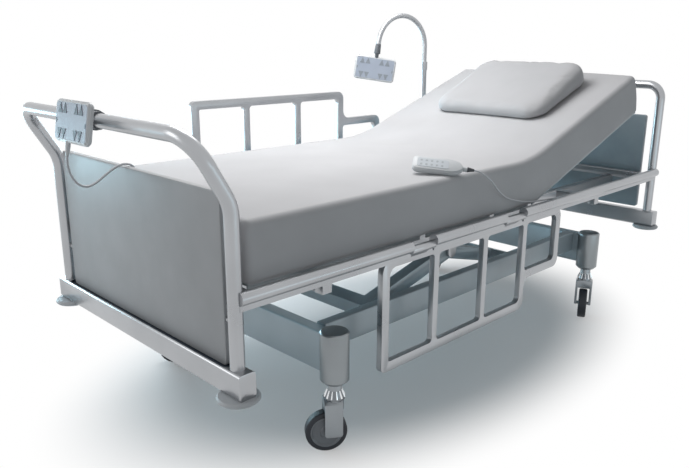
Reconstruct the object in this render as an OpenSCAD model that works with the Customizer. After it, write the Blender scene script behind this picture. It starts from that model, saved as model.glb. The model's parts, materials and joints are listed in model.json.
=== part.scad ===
// Hospital bed: a castored base, an opposed arm lift, a four part profiling
// platform with its mattress, fold down side guards, panelled end frames,
// two keypads and a handset. Millimetres. The foot end points to -X, the head
// end to +X and the side nearer the viewer to -Y. The floor is at zero.

/* [End frames] */
// Distance from the foot posts to the head posts, centre to centre
post_span = 2120; // [2060:5:2180]
// Distance from a post's axis in to the nearest side rail's axis
post_inset = 14.5; // [13:0.5:16]
// Diameter of the bent end tubes
end_tube_d = 34; // [30:0.5:35]
// Height of the centre of the foot end's top bar
foot_bar_z = 880; // [860:1:900]
// Height at which the foot posts lean outward
foot_bend_z = 732; // [715:1:745]
// How far the foot end's top bar leans out past its posts
foot_lean = 87; // [70:1:100]
// Radius of the outward bend in a foot post
foot_bend_r = 100; // [80:1:120]
// Corner radius of the foot end's top bar
foot_corner_r = 70; // [60:1:80]
// Height of the centre of the head end's top bar
head_bar_z = 884; // [860:1:900]
// Corner radius of the head end's top bar
head_corner_r = 55; // [45:1:75]

/* [Crossbeams] */
// Width of a crossbeam along the bed
beam_w = 46; // [44:0.5:50]
// Height of a crossbeam
beam_h = 62; // [54:1:66]
// Height of a crossbeam's top face
beam_top = 365; // [355:1:372]
// Length of a crossbeam past a post's axis
beam_end = 35; // [30:1:45]
// Edge radius of a crossbeam
beam_edge_r = 8; // [4:0.5:12]
// Width of the slot in the foot crossbeam
slot_w = 35; // [32:0.5:36]
// Distance from a post's axis to the end of the foot crossbeam's slot
slot_end = 20; // [18.5:0.5:25]
// Depth of the slot in the foot crossbeam
slot_deep = 8; // [6:0.5:12]
// Diameter of a corner bumper
bumper_d = 100; // [90:1:110]
// Thickness of a corner bumper
bumper_t = 12; // [8:0.5:16]

/* [End panels] */
// Thickness of an end panel
panel_t = 18; // [15:0.5:20]
// Gap between the foot panel's side and a post
foot_panel_side = 19; // [13:0.5:25]
// Height of the foot panel's top edge
foot_panel_top = 755; // [735:1:765]
// Gap between the head panel's side and a post
head_panel_side = 28; // [21:0.5:33]
// Height of the head panel's top edge
head_panel_top = 762; // [740:1:790]
// Gap under the head panel
head_panel_gap = 12; // [8:0.5:16]
// Corner radius of an end panel
panel_corner_r = 10; // [5:0.5:16]

/* [Side rails and guards] */
// Height of a side rail's axis
rail_z = 530; // [528:0.5:532]
// Gap between the mattress and a side rail's sleeves
rail_clear = 13.5; // [12:0.5:16]
// Diameter of the pins that the guards turn on
rail_pin_d = 18; // [16:0.5:19]
// Depth of the guards' pins below the side rails' axis
pivot_drop = 10; // [8:0.5:11]
// Diameter of a side rail's sleeves
rail_sleeve_d = 32; // [31:0.5:33]
// Height of the accessory strip below the sleeves
strip_h = 13; // [11:0.5:13.5]
// Thickness of the accessory strip
strip_t = 6; // [4:0.5:7]
// Outer diameter of a guard's knuckles
knuckle_d = 23; // [22:0.5:25]
// Distance from the pins' axis to the guard's inner bar, in the guard's plane
guard_drop = 27.5; // [27:0.5:30]
// Distance from the pins' axis to the guard's plane
guard_offset = 28; // [27:0.5:29]
// Distance from the pins' axis to the guard's outer bar
guard_reach = 324; // [308:1:328]
// Distance from the pins' axis to the outer bar of the guard's short bay
guard_step_reach = 218; // [198:1:233]
// Width of the guard's outer bar in its plane
guard_bar_w = 28; // [24:0.5:29]
// Thickness of a guard
guard_t = 18; // [14:0.5:18.5]
// Width of a guard's inner posts
guard_post_w = 22; // [18:0.5:24]
// Corner radius of a guard beside its knuckles
guard_corner_r = 40; // [34:1:48]
// Corner radius of a guard's outer edge at its tall end
guard_tip_r = 16; // [10:1:24]
// Corner radius of a guard's outer edge at its step
guard_bay_r = 28; // [22:1:34]

/* [Base] */
// Distance from the bed's middle to the foot end's caster swivels
foot_caster_x = 724; // [715:1:735]
// Distance from the bed's middle to the head end's caster swivels
head_caster_x = 643; // [633:1:655]
// Distance from the centre line to a caster's swivel
caster_y = 375; // [368:1:380]
// Diameter of a leg housing
housing_d = 78; // [72:1:82]
// Height of a leg housing's lower face
housing_low = 195; // [190:1:200]
// Height of a leg housing's top face
housing_top = 340; // [334:1:343]
// Thickness of an end beam along the bed
end_beam_t = 41; // [36:0.5:46]
// Height of an end beam's lower face
end_beam_low = 219; // [214:1:226]
// Height of an end beam's top face
end_beam_top = 330; // [326:1:334]
// Distance from the centre line to a side beam's inner face
side_beam_in = 285; // [284:0.5:288]
// Thickness of a side beam
side_beam_t = 35; // [30:0.5:38]
// Height of a side beam's lower face
side_beam_low = 258.5; // [250:0.5:264]
// Height of a side beam's top face
side_beam_top = 334.5; // [332:0.5:338]

/* [Casters] */
// Diameter of a tyre
tyre_d = 113; // [106:1:116]
// Width of a tyre
tyre_w = 31; // [28:0.5:33]
// Diameter of a wheel's hub disc
hub_d = 86; // [78:1:90]
// Distance from a caster's swivel to its axle
trail = 23.5; // [18:0.5:30]
// Distance from a caster's swivel to the far edge of a fork's legs
fork_back = 18; // [15:0.5:22]
// Overall width of a fork
fork_w = 62; // [60:0.5:68]
// Diameter of a fork's axle
axle_d = 12; // [10:0.5:14]
// Diameter of a swivel stem
stem_d = 20; // [16:0.5:24]
// Diameter of a fork's neck
neck_d = 38; // [34:0.5:42]
// Diameter of the flared collar's skirt
collar_d = 54; // [50:0.5:58]

/* [Lift] */
// Distance from a base pivot to the arm's tip, centre to centre
lift_arm_len = 387.6; // [380:0.2:395]
// Angle of the arms above level as the bed stands here
lift_angle = 14.65; // [12:0.05:17]
// Height of the base pivots
lift_pivot_z = 299; // [297:0.5:300]
// Distance from the bed's middle to the foot side base pivot
lift_foot_x = 475; // [465:1:485]
// Distance from the bed's middle to the head side base pivot
lift_head_x = 233; // [225:1:243]
// Height of an arm's section
arm_h = 45; // [40:0.5:46]
// Width of an arm's section
arm_w = 40; // [34:0.5:41]
// Distance from the centre line to a foot side arm's outer face
foot_arm_out = 265; // [264:0.5:266]
// Distance from the centre line to a head side arm's outer face
head_arm_out = 215; // [212:0.5:217]
// Diameter of the base pivot pins
base_pin_d = 20; // [18:0.5:22]
// Diameter of the tip pins
tip_pin_d = 16; // [14:0.5:18]
// Diameter of the rollers that run in the lift channels
roller_d = 30; // [28:0.5:32]

/* [Platform] */
// Height of the hinge axes of the platform's sections
hinge_z = 520; // [519:0.5:521]
// Distance from the bed's middle to the back section's hinge
back_hinge_x = 170; // [160:1:180]
// Distance from the bed's middle to the thigh section's hinge
thigh_hinge_x = 50; // [44:1:56]
// Distance from the bed's middle to the knee hinge
knee_hinge_x = 390; // [380:1:400]
// Distance from the bed's middle to the calf section's free end
calf_end_x = 1000; // [985:1:1002]
// Length of the back section from its hinge
back_len = 790; // [770:1:795]
// Angle at which the back section rests
back_angle = 19.2; // [15:0.1:23]
// Width of the platform's sections
tray_w = 770; // [740:1:790]
// Thickness of a section's sheet
tray_t = 4; // [3:0.5:5]
// Height of a longitudinal's lower face
long_low = 455; // [453:0.5:458]
// Height of a longitudinal
long_h = 50; // [46:0.5:51]
// Thickness of a longitudinal
long_t = 30; // [26:0.5:32]
// Distance from the centre line to a longitudinal's outer face
long_out = 275; // [274:0.5:277]
// Side of the cross tubes
cross_t = 30; // [26:0.5:31]
// Diameter of a section's hinge pins
hinge_pin_d = 12; // [10:0.5:13]

/* [Mattress and pillow] */
// Distance that the mattress's side stands out past the platform's sections
tray_inset = 20; // [8:0.5:30]
// Thickness of the mattress
mattress_t = 150; // [130:1:160]
// Gap between the platform's sheets and the mattress
mattress_gap = 0.5; // [0.3:0.1:1]
// Height of the crown across the mattress
mattress_crown = 7; // [3:0.5:12]
// Radius of the mattress's upper edges
mattress_edge_r = 20; // [14:1:30]
// Length of the mattress from the back hinge to the head end
mattress_back_len = 775; // [750:5:790]
// Distance from the bed's middle to the mattress's foot end
mattress_foot_x = 1010; // [1000:1:1012]
// Width of the pillow
pillow_w = 504; // [480:1:560]
// Length of the pillow along the back
pillow_len = 410; // [370:5:450]
// Height of the pillow at its foot edge
pillow_foot_h = 42; // [30:1:55]
// Height of the pillow at its head edge
pillow_head_h = 88; // [70:1:100]

/* [Controls] */
// Width of a keypad box
keypad_w = 170; // [160:1:180]
// Height of a keypad box
keypad_h = 97; // [90:1:104]
// Thickness of a keypad box
keypad_t = 14; // [12:0.5:18]
// Diameter of the gooseneck's post
goose_post_d = 23; // [20:0.5:25]
// Diameter of the gooseneck's hose
goose_hose_d = 20.5; // [18:0.5:22]
// Radius of the gooseneck's arc
goose_arc_r = 125; // [110:1:140]
// Length of the handset
handset_len = 146; // [136:1:156]
// Width of the handset
handset_w = 58; // [52:1:62]
// Thickness of the handset
handset_t = 17; // [14:0.5:22]

/* [Hidden] */
$fn = 64;

// Clearances and the one overrun that every cut uses
overrun = 5;
run_gap = 0.3;
pin_gap = 0.05;
side_gap = 2;
corner_steps = 5;
arc_steps = 10;

// End frames
foot_x = -post_span / 2;
head_x = post_span / 2;
mattress_w = tray_w + 2 * tray_inset;
rail_y = mattress_w / 2 + rail_clear + rail_sleeve_d / 2;
post_y = rail_y - post_inset;
post_gauge = 2 * post_y;
beam_len = post_gauge + 2 * beam_end;
slot_len = post_gauge - 2 * slot_end;
foot_bar_x = foot_x - foot_lean;
beam_low = beam_top - beam_h;
bumper_edge_r = 4;

// Panels, each set off its posts' axes, with its studs and brackets
foot_panel_set = 4;
head_panel_set = 10;
foot_panel_out = foot_x - foot_panel_set;
slot_shift = 5.5;
head_panel_in = head_x - head_panel_set;
foot_panel_w = post_gauge - end_tube_d - 2 * foot_panel_side;
head_panel_w = post_gauge - end_tube_d - 2 * head_panel_side;
foot_panel_seat = 2;
lining_t = 2.5;
stud_d = 14;
foot_stud_z = 470;
head_stud_z = 508;
bracket_w = 40;
bracket_y_share = 0.3;
slot_round_share = 0.48;

// Side rails and guards, with the places of the guard's posts
knuckle_gap = 0.5;
pin_seat = 4;
pivot_z = rail_z - pivot_drop;
guard_posts_x = [-574, -361, -121, 102, 315];
knuckle_spans_x = [[-502, -405], [-58, 50]];
knuckle_web_t = 12;
knuckle_web_inset = 8;
guard_inner_w = 26;
guard_window_r = 12;
guard_step_r = 30;
block_inset = 4.5;
block_w = 27;
block_out = rail_y - block_inset;
block_in = block_out - block_w;

// Base
housing_chamfer = 10;
housing_rim = 4;
stem_len = 60;
tube_edge_r = 5;
boss_d = 46;
boss_l = 13;
base_pin_seat = 12;

// Casters, each with the direction in which its wheel trails
caster_names = ["foot_near", "foot_far", "head_near", "head_far"];
caster_at = [
    [-foot_caster_x, -caster_y], [-foot_caster_x, caster_y],
    [head_caster_x, -caster_y], [head_caster_x, caster_y]];
caster_turns = [145, 160, 206, 20];
axle_z = tyre_d / 2;
fork_leg_t = 8.5;
fork_leg_r = 8;
crown_low = 119;
collar_skirt_h = 6;
collar_h = 20;
crown_top = 150;
shoulder_h = 7;
tread_r = 6;
hub_recess = 3;
hub_boss_d = 30;
fork_inner = fork_w - 2 * fork_leg_t;

// Lift: where the arms' tips stand at rest
foot_tip_x = -lift_foot_x + lift_arm_len * cos(lift_angle);
head_tip_x = lift_head_x - lift_arm_len * cos(lift_angle);
tip_z = lift_pivot_z + lift_arm_len * sin(lift_angle);
lug_t = 8;
lug_r = 20;
tip_pin_in = 3;
roller_w = 16;
channel_t = 6;
channel_gap = 0.5;
channel_deep = roller_w + side_gap + channel_t;
channel_low_x = -190;
channel_high_x = 140;
roller_clear = 4;
hanger_w = 30;

// Platform
long_top = long_low + long_h;
end_cross_x = 1020;
outrigger_x = [-800, 560];
member_x = [-620, -175, 125, 400];
hinge_barrel_d = 24;
section_bar_h = 22;
hinge_lug_r = 12.5;
hinge_lug_t = 8;
section_bar_t = 20;
section_bar_set = 9;
section_bar_in = long_out - section_bar_set;
hinge_lug_out = section_bar_in - side_gap;
knee_bar_in = section_bar_in + section_bar_t + side_gap;
section_low = hinge_z - section_bar_h / 2;
tray_rise = 15;
tray_top = hinge_z + tray_rise;
tray_end_gap = 14;
tray_lip = 14;
tray_lip_t = 4;
slot_hole_w = 12;
slot_hole_share = 0.62;
slot_pitch = 62;
slot_edge = 40;

// Mattress: the fold wedges' half angles, the sections' edge shapes
back_fold_angle = 35.6;
thigh_fold_angle = 18;
mattress_low = tray_top + mattress_gap;
mattress_top = mattress_low + mattress_t;
mattress_side_bulge = 3;
mattress_low_r = 12;
mattress_end_r = 16;
mattress_end_share = 0.8;
mattress_waist_share = 0.45;
mattress_middle_share = 0.6;
fold_gap = 0.3;
fold_blend_share = 1.4;
fold_steps = 8;
end_steps = 4;
round_steps = 5;
crown_steps = 8;
pillow_start = 280;
pillow_side = -25.6;
pillow_corner_r = 75;
pillow_dip = 6;
pillow_insets = [10, 3, 0, 1, 5, 13, 30];
pillow_rise_shares = [0, 0.08, 0.25, 0.6, 0.84, 0.95, 1];

// Keypads
keypad_corner_r = 14;
keypad_edge = 4;
keypad_window = 7;
membrane_t = 1.2;
membrane_seat = 0.6;
arrow_w = 15;
arrow_h = 12;
arrow_t = 0.8;
arrow_x_shares = [-0.33, -0.19, 0.15, 0.29];
arrow_y_share = 0.26;
control_y = -22;
control_reach = 50;
control_drop = 1;
control_tilt = 10;
clamp_d = 42;
clamp_w = 42;
clamp_ring_w = 8;
clamp_ring_d = 48;
clamp_block_share = 0.33;
relief_d = 12;
relief_tip_d = 8;
relief_h = 30;
relief_root_h = 10;
control_cord_d = 6;
handset_cord_d = 5;

// Gooseneck
goose_x = 600;
goose_set = 5.5;
goose_y = rail_y + goose_set;
goose_out_turn = 11;
goose_sweep = 170;
goose_post_low = 556;
goose_clamp_top = 600;
goose_clamp_w = 46;
goose_clamp_low = 508;
goose_collar_z = 930;
goose_collar_h = 34;
goose_collar_d = 28;
goose_arc_z = 1030;
goose_tail = 12;
goose_sleeve_l = 40;
goose_sleeve_d = 27;
goose_sleeve_tip_d = 22;
goose_neck_l = 14;
goose_neck_d = 16;
goose_neck_gap = 0.3;
view_turn = 224.5;

// Handset
handset_at = [-286, -346.5];
handset_turn = -52;
handset_dip = 5.5;
handset_tilt = 30;
handset_nose = 44;
handset_tail_r = 12;
handset_edge = 4;
handset_settle = 5.4;
handset_neck_d = 14;
handset_neck_l = 11;
handset_relief_d = 15;
handset_relief_tip_d = 7;
handset_relief_l = 20;
handset_film_share = 0.62;
hook_w = 26;
hook_t = 5;
hook_reach = 20.7;
hook_lip = 12;

// Cord routes, chosen by hand, in this file's frame before it is centred. The
// handset's cord hangs just outside the mattress's near side
hang_gap = 7;
hang_y = -mattress_w / 2 - hang_gap;
handset_cord_route = [
    [-222, -428.4, 699.2], [-216, -434.5, 697.5], [-208, -438.5, 694], [-198, -440, 689], [-186, -440, 683],
    [-170, -438.5, 674.5], [-150, -436, 663.5], [-126, -433, 647.3], [-101, -429, 629.5],
    [-74, -425, 611.5], [-44, -420, 595.5], [-13, -416, 582.8], [23, -413, 571.6],
    [72, hang_y, 559.6], [121, hang_y, 551.5], [172, hang_y, 545.4], [220, hang_y, 541.5],
    [285, hang_y, 537.5], [370, hang_y, 532], [460, hang_y, 527], [540, hang_y, 525]];
control_cord_route = [
    [-1210.6, 0, 801.7], [-1212.4, 0, 790], [-1212, 0, 777], [-1209, 1, 763], [-1203, 2, 749],
    [-1194, 3, 736], [-1182, 4, 727], [-1168, 5, 723], [-1152, 7, 725.5], [-1136, 9, 733],
    [-1120, 11, 742], [-1104, 13, 751], [-1086, 15, 759], [-1069, 17, 763], [-1053, 18.5, 761],
    [-1041.5, 19.5, 755], [-1033, 20, 742], [-1027.5, 20, 720], [-1024, 20, 690], [-1022, 20, 640],
    [-1020, 20, 590], [-1020, 20, 548]];
control_cord_end = control_cord_route[len(control_cord_route) - 1];
handset_cord_end = handset_cord_route[len(handset_cord_route) - 1];

// Vector and frame helpers
function unit(v) = v / norm(v);
function frame_of(x, y, z, p) = [
    [x.x, y.x, z.x, p.x],
    [x.y, y.y, z.y, p.y],
    [x.z, y.z, z.z, p.z],
    [0, 0, 0, 1]];
function into(m, p) = [for (i = [0:2]) m[i][0] * p.x + m[i][1] * p.y + m[i][2] * p.z + m[i][3]];
function turned(p, a) = [p.x * cos(a) - p.y * sin(a), p.x * sin(a) + p.y * cos(a)];

// Outline of a rectangle with rounded corners, centred on zero
function round_rect(w, h, r, n = corner_steps) = [
    for (c = [0:3], i = [0:n])
        let (a = 90 * (c + i / n),
             sx = (c == 0 || c == 3) ? 1 : -1,
             sy = (c < 2) ? 1 : -1)
        [sx * (w / 2 - r) + r * cos(a), sy * (h / 2 - r) + r * sin(a)]];

// Points of an arc
function arc(c, r, a, b, n = arc_steps) = [
    for (i = [0:n]) c + r * [cos(a + (b - a) * i / n), sin(a + (b - a) * i / n)]];

// Keypad frames: x to the viewer's right, y up the face, z out of the face
control_at = [foot_bar_x - control_reach, control_y, foot_bar_z - control_drop];
control_frame = frame_of(
    [0, -1, 0],
    [sin(control_tilt), 0, cos(control_tilt)],
    [-cos(control_tilt), 0, sin(control_tilt)],
    control_at);

goose_dir = [-cos(goose_out_turn), sin(goose_out_turn), 0];
goose_arc_c = [goose_x, goose_y, goose_arc_z] + goose_arc_r * goose_dir;
goose_arc_end = goose_arc_c + goose_arc_r * (
    -cos(goose_sweep) * goose_dir + [0, 0, sin(goose_sweep)]);
goose_down = sin(goose_sweep) * goose_dir + [0, 0, cos(goose_sweep)];
goose_sleeve_at = goose_arc_end + goose_tail * goose_down;
goose_neck_at = goose_sleeve_at + goose_sleeve_l * goose_down;
goose_face = [cos(view_turn), sin(view_turn), 0];
goose_panel_z = unit(goose_face - (goose_face * goose_down) * goose_down);
goose_panel_x = cross(-goose_down, goose_panel_z);
goose_panel_at = goose_neck_at + (goose_neck_l + keypad_h / 2) * goose_down;
goose_frame = frame_of(goose_panel_x, -goose_down, goose_panel_z, goose_panel_at);

// The bed's extents, from which its middle is worked out
function keypad_corners() = [
    for (s = [[0, -1], [keypad_edge, -1], [0, 1], [keypad_edge, 1]])
        for (p = round_rect(keypad_w - 2 * s[0], keypad_h - 2 * s[0], keypad_corner_r - s[0]))
            [p.x, p.y, s[1] * (keypad_t / 2 - keypad_edge + s[0])]];
low_x = min([for (p = keypad_corners()) into(control_frame, p).x]);
high_x = head_x + bumper_d / 2;
low_y = -post_y - bumper_d / 2;
high_y = max([for (p = keypad_corners()) into(goose_frame, p).y]);
middle = [(low_x + high_x) / 2, (low_y + high_y) / 2, 0];
echo(middle = middle, low = [low_x, low_y], high = [high_x, high_y]);
echo(control_at = control_at, goose_panel_at = goose_panel_at, goose_down = goose_down);
echo(foot_tip_x = foot_tip_x, head_tip_x = head_tip_x, tip_z = tip_z);

// Placing and extruding helpers
module place() {
    translate(-middle) children();
}
module both_sides() {
    children();
    mirror([0, 1, 0]) children();
}
module box(lo, hi) {
    translate(lo) cube(hi - lo);
}
module along_x(x0, x1) {
    translate([x0, 0, 0]) rotate([90, 0, 90]) linear_extrude(x1 - x0) children();
}
module along_y(y0, y1) {
    translate([0, y1, 0]) rotate([90, 0, 0]) linear_extrude(y1 - y0) children();
}
module rod_y(x, z, d, y0, y1) {
    translate([x, y1, z]) rotate([90, 0, 0]) cylinder(h = y1 - y0, d = d);
}
module rod_x(y, z, d, x0, x1) {
    translate([x0, y, z]) rotate([0, 90, 0]) cylinder(h = x1 - x0, d = d);
}

// A bent round bar from zero along +Z. Each run is its length, then the radius
// and angle of the elbow at its end, and the roll that sets the way it turns
module bent_bar(runs, d, i = 0) {
    cylinder(h = runs[i][0], d = d);
    if (i < len(runs) - 1) {
        r = runs[i][1];
        translate([0, 0, runs[i][0]]) rotate(runs[i][3]) {
            translate([r, 0, 0]) rotate([90, 0, 180])
                rotate_extrude(angle = runs[i][2]) translate([r, 0]) circle(d = d);
            translate([r, 0, 0]) rotate([0, runs[i][2], 0]) translate([-r, 0, 0]) bent_bar(runs, d, i + 1);
        }
    }
}

// Faces of a solid swept through rings of n points, the rings listed in order
function sweep_faces(n, rings) = concat(
    [for (i = [0:rings - 2], j = [0:n - 1]) [i * n + j, (i + 1) * n + j, (i + 1) * n + (j + 1) % n]],
    [for (i = [0:rings - 2], j = [0:n - 1]) [i * n + j, (i + 1) * n + (j + 1) % n, i * n + (j + 1) % n]],
    [for (k = [1:n - 2]) [0, k, k + 1]],
    [for (k = [1:n - 2]) [(rings - 1) * n, (rings - 1) * n + k + 1, (rings - 1) * n + k]]);
module swept(rings) {
    polyhedron([for (ring = rings) each ring], sweep_faces(len(rings[0]), len(rings)));
}

// A cord through its route's points, with a level reference for its rings
cord_sides = 8;
function cord_dir(p, i) = unit(p[min(i + 1, len(p) - 1)] - p[max(i - 1, 0)]);
function cord_rings(p, d, side) = [
    for (i = [0:len(p) - 1])
        let (t = cord_dir(p, i), u = unit(side - (side * t) * t), v = cross(t, u))
        [for (k = [0:cord_sides - 1])
            p[i] + d / 2 * (cos(360 * k / cord_sides) * u + sin(360 * k / cord_sides) * v)]];

// Base
module end_beam(x) {
    color("lightsteelblue") place() difference() {
        union() {
            along_y(-caster_y, caster_y)
                translate([x, (end_beam_low + end_beam_top) / 2])
                    polygon(round_rect(end_beam_t, end_beam_top - end_beam_low, tube_edge_r));
            both_sides() translate([x, caster_y, housing_low]) leg_housing();
        }
        both_sides() translate([x, caster_y, housing_low - overrun])
            cylinder(h = stem_len + overrun, d = stem_d + 2 * pin_gap);
    }
}
module leg_housing() {
    r = housing_d / 2;
    h = housing_top - housing_low;
    rotate_extrude() polygon([
        [0, 0], [r - housing_chamfer, 0], [r, housing_chamfer],
        [r, h - housing_rim], [r - housing_rim, h], [0, h]]);
}
module base_end_foot() {
    end_beam(-foot_caster_x);
}
module base_end_head() {
    end_beam(head_caster_x);
}
module side_beam() {
    color("lightsteelblue") difference() {
        union() {
            along_x(-foot_caster_x + end_beam_t / 2, head_caster_x - end_beam_t / 2)
                translate([side_beam_in + side_beam_t / 2, (side_beam_low + side_beam_top) / 2])
                    polygon(round_rect(side_beam_t, side_beam_top - side_beam_low, tube_edge_r));
            for (x = [-lift_foot_x, lift_head_x])
                rod_y(x, lift_pivot_z, boss_d, side_beam_in - boss_l, side_beam_in + tube_edge_r);
        }
        for (x = [-lift_foot_x, lift_head_x])
            rod_y(x, lift_pivot_z, base_pin_d + 2 * pin_gap,
                side_beam_in - boss_l - overrun, side_beam_in + base_pin_seat);
    }
}
module base_side_far() {
    place() side_beam();
}
module base_side_near() {
    place() mirror([0, 1, 0]) side_beam();
}

// Casters, drawn at their swivel with the wheel trailing along +X
module at_caster(i) {
    place() translate([caster_at[i].x, caster_at[i].y, 0]) rotate(caster_turns[i]) children();
}
module fork_leg() {
    low = axle_z - axle_d / 2 - side_gap;
    along_y(fork_inner / 2, fork_w / 2) polygon(concat(
        [[trail + axle_d / 2, crown_low], [-fork_back, crown_low]],
        arc([-fork_back + fork_leg_r, low + fork_leg_r], fork_leg_r, 180, 270, corner_steps),
        arc([trail + axle_d / 2 - fork_leg_r, low + fork_leg_r], fork_leg_r, 270, 360, corner_steps)));
}
module fork(i) {
    neck_top = housing_low - run_gap;
    color("silver") at_caster(i) {
        rotate_extrude() polygon([
            [0, crown_low], [collar_d / 2 - side_gap, crown_low], [collar_d / 2 - side_gap, crown_top],
            [collar_d / 2, crown_top], [collar_d / 2, crown_top + collar_skirt_h],
            [neck_d / 2, crown_top + collar_skirt_h + collar_h], [neck_d / 2, neck_top],
            [stem_d / 2, neck_top], [stem_d / 2, neck_top + stem_len], [0, neck_top + stem_len]]);
        along_x(-fork_back, trail + axle_d / 2) polygon([
            [-fork_w / 2, crown_low], [fork_w / 2, crown_low], [fork_w / 2, crown_top - shoulder_h],
            [neck_d / 2, crown_top], [-neck_d / 2, crown_top], [-fork_w / 2, crown_top - shoulder_h]]);
        both_sides() fork_leg();
        rod_y(trail, axle_z, axle_d, -fork_w / 2 + run_gap, fork_w / 2 - run_gap);
    }
}
module hub(i) {
    w = tyre_w / 2;
    color("gray") at_caster(i) translate([trail, 0, axle_z]) rotate([90, 0, 0]) rotate_extrude() polygon([
        [axle_d / 2 + pin_gap, -w], [hub_boss_d / 2, -w], [hub_boss_d / 2 + hub_recess, hub_recess - w],
        [hub_d / 2 - 2 * hub_recess, hub_recess - w], [hub_d / 2 - hub_recess, -w], [hub_d / 2, -w],
        [hub_d / 2, w], [hub_d / 2 - hub_recess, w], [hub_d / 2 - 2 * hub_recess, w - hub_recess],
        [hub_boss_d / 2 + hub_recess, w - hub_recess], [hub_boss_d / 2, w], [axle_d / 2 + pin_gap, w]]);
}
module tyre(i) {
    w = tyre_w / 2;
    color("#1b2330") at_caster(i) translate([trail, 0, axle_z]) rotate([90, 0, 0]) rotate_extrude()
        polygon(concat(
            [[hub_d / 2, -w]],
            arc([tyre_d / 2 - tread_r, tread_r - w], tread_r, -90, 0, corner_steps),
            arc([tyre_d / 2 - tread_r, w - tread_r], tread_r, 0, 90, corner_steps),
            [[hub_d / 2, w]]));
}

// Lift frames, drawn level with the base pivot at zero and the arms along +X
module lift_arms(out) {
    difference() {
        union() {
            both_sides() along_y(out - arm_w, out)
                polygon(concat(arc([0, 0], arm_h / 2, 90, 270),
                    arc([lift_arm_len, 0], arm_h / 2, -90, 90)));
            box([-arm_h / 2, -foot_arm_out, -arm_h / 2], [arm_h / 2, foot_arm_out, arm_h / 2]);
            both_sides() rod_y(0, 0, base_pin_d, foot_arm_out - overrun,
                side_beam_in + base_pin_seat - side_gap);
        }
        both_sides() rod_y(lift_arm_len, 0, tip_pin_d + 2 * pin_gap, out - arm_w - overrun, out + overrun);
    }
}
module lift_frame_foot() {
    color("lightsteelblue") place() translate([-lift_foot_x, 0, lift_pivot_z])
        rotate([0, -lift_angle, 0]) lift_arms(foot_arm_out);
}
module head_frame() {
    place() translate([lift_head_x, 0, lift_pivot_z])
        rotate([0, lift_angle, 0]) mirror([1, 0, 0]) children();
}
module lift_frame_head() {
    color("lightsteelblue") head_frame() lift_arms(head_arm_out);
}
roller_out = head_arm_out - arm_w - roller_clear;
module lift_rollers() {
    color("dimgray") head_frame() both_sides() {
        rod_y(lift_arm_len, 0, roller_d, roller_out - roller_w, roller_out);
        rod_y(lift_arm_len, 0, tip_pin_d, roller_out - overrun, head_arm_out);
    }
}
channel_web = roller_out - roller_w - side_gap;
module lift_channels() {
    h = roller_d / 2 + channel_gap;
    color("lightsteelblue") place() both_sides() {
        difference() {
            box([channel_low_x, channel_web - channel_t, tip_z - h - channel_t],
                [channel_high_x, channel_web - channel_t + channel_deep, tip_z + h + channel_t]);
            box([channel_low_x - overrun, channel_web, tip_z - h],
                [channel_high_x + overrun, channel_web + channel_deep, tip_z + h]);
        }
        for (x = [member_x[1], member_x[2]])
            box([x - hanger_w / 2, channel_web - channel_t, tip_z + h + channel_t],
                [x + hanger_w / 2, channel_web - channel_t + channel_deep, long_low]);
    }
}

// Platform frame: welded longitudinals, notched for the end cross tubes, inner
// cross tubes and lift lugs
function cope_d(d) = d + 2 * run_gap;
module platform_frame() {
    color("silver") place() difference() {
        union() {
            both_sides() along_x(-end_cross_x, end_cross_x)
                translate([long_out - long_t / 2, long_low + long_h / 2])
                    polygon(round_rect(long_t, long_h, tube_edge_r));
            for (x = outrigger_x)
                along_y(-block_in, block_in) translate([x, long_top - cross_t / 2])
                    polygon(round_rect(cross_t, cross_t, tube_edge_r));
            for (x = member_x)
                box([x - cross_t / 2, -long_out + long_t / 2, long_low],
                    [x + cross_t / 2, long_out - long_t / 2, long_top - side_gap]);
            both_sides() lift_lug();
        }
        rail_copes();
        for (x = [-end_cross_x, end_cross_x])
            box([x - cross_t / 2, -block_out, hinge_z - tube_edge_r - cross_t / 2],
                [x + cross_t / 2, block_out, hinge_z + cross_t]);
    }
}
// What the side rails and their strips take out of the members that hold them
module rail_copes() {
    low = rail_z - rail_sleeve_d / 2 - strip_h - run_gap;
    both_sides() {
        rod_x(rail_y, rail_z, cope_d(rail_sleeve_d), foot_x, head_x);
        box([foot_x, rail_y - strip_t / 2 - run_gap, low],
            [head_x, rail_y + strip_t / 2 + run_gap, rail_z]);
    }
}
// End cross tubes on the longitudinals, with the gland of the foot keypad's cord
module platform_ends() {
    color("silver") place() difference() {
        union() {
            for (x = [-end_cross_x, end_cross_x])
                along_y(-block_out, block_out) translate([x, hinge_z - tube_edge_r])
                    polygon(round_rect(cross_t, cross_t, tube_edge_r));
            translate([control_cord_end.x, control_cord_end.y, hinge_z])
                cylinder(h = control_cord_end.z - hinge_z, d = relief_d);
        }
        rail_copes();
    }
}
// Blocks on the outriggers' ends that hold the side rails, and the near one's
// gland, where the handset's cord goes in
module rail_blocks() {
    color("silver") place() difference() {
        for (x = outrigger_x) both_sides()
            box([x - cross_t / 2, block_in, long_top - cross_t], [x + cross_t / 2, block_out, rail_z]);
        rail_copes();
    }
    color("silver") place() rod_x(handset_cord_end.y, handset_cord_end.z, relief_tip_d,
        handset_cord_end.x, outrigger_x[1] - cross_t / 2);
}
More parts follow.
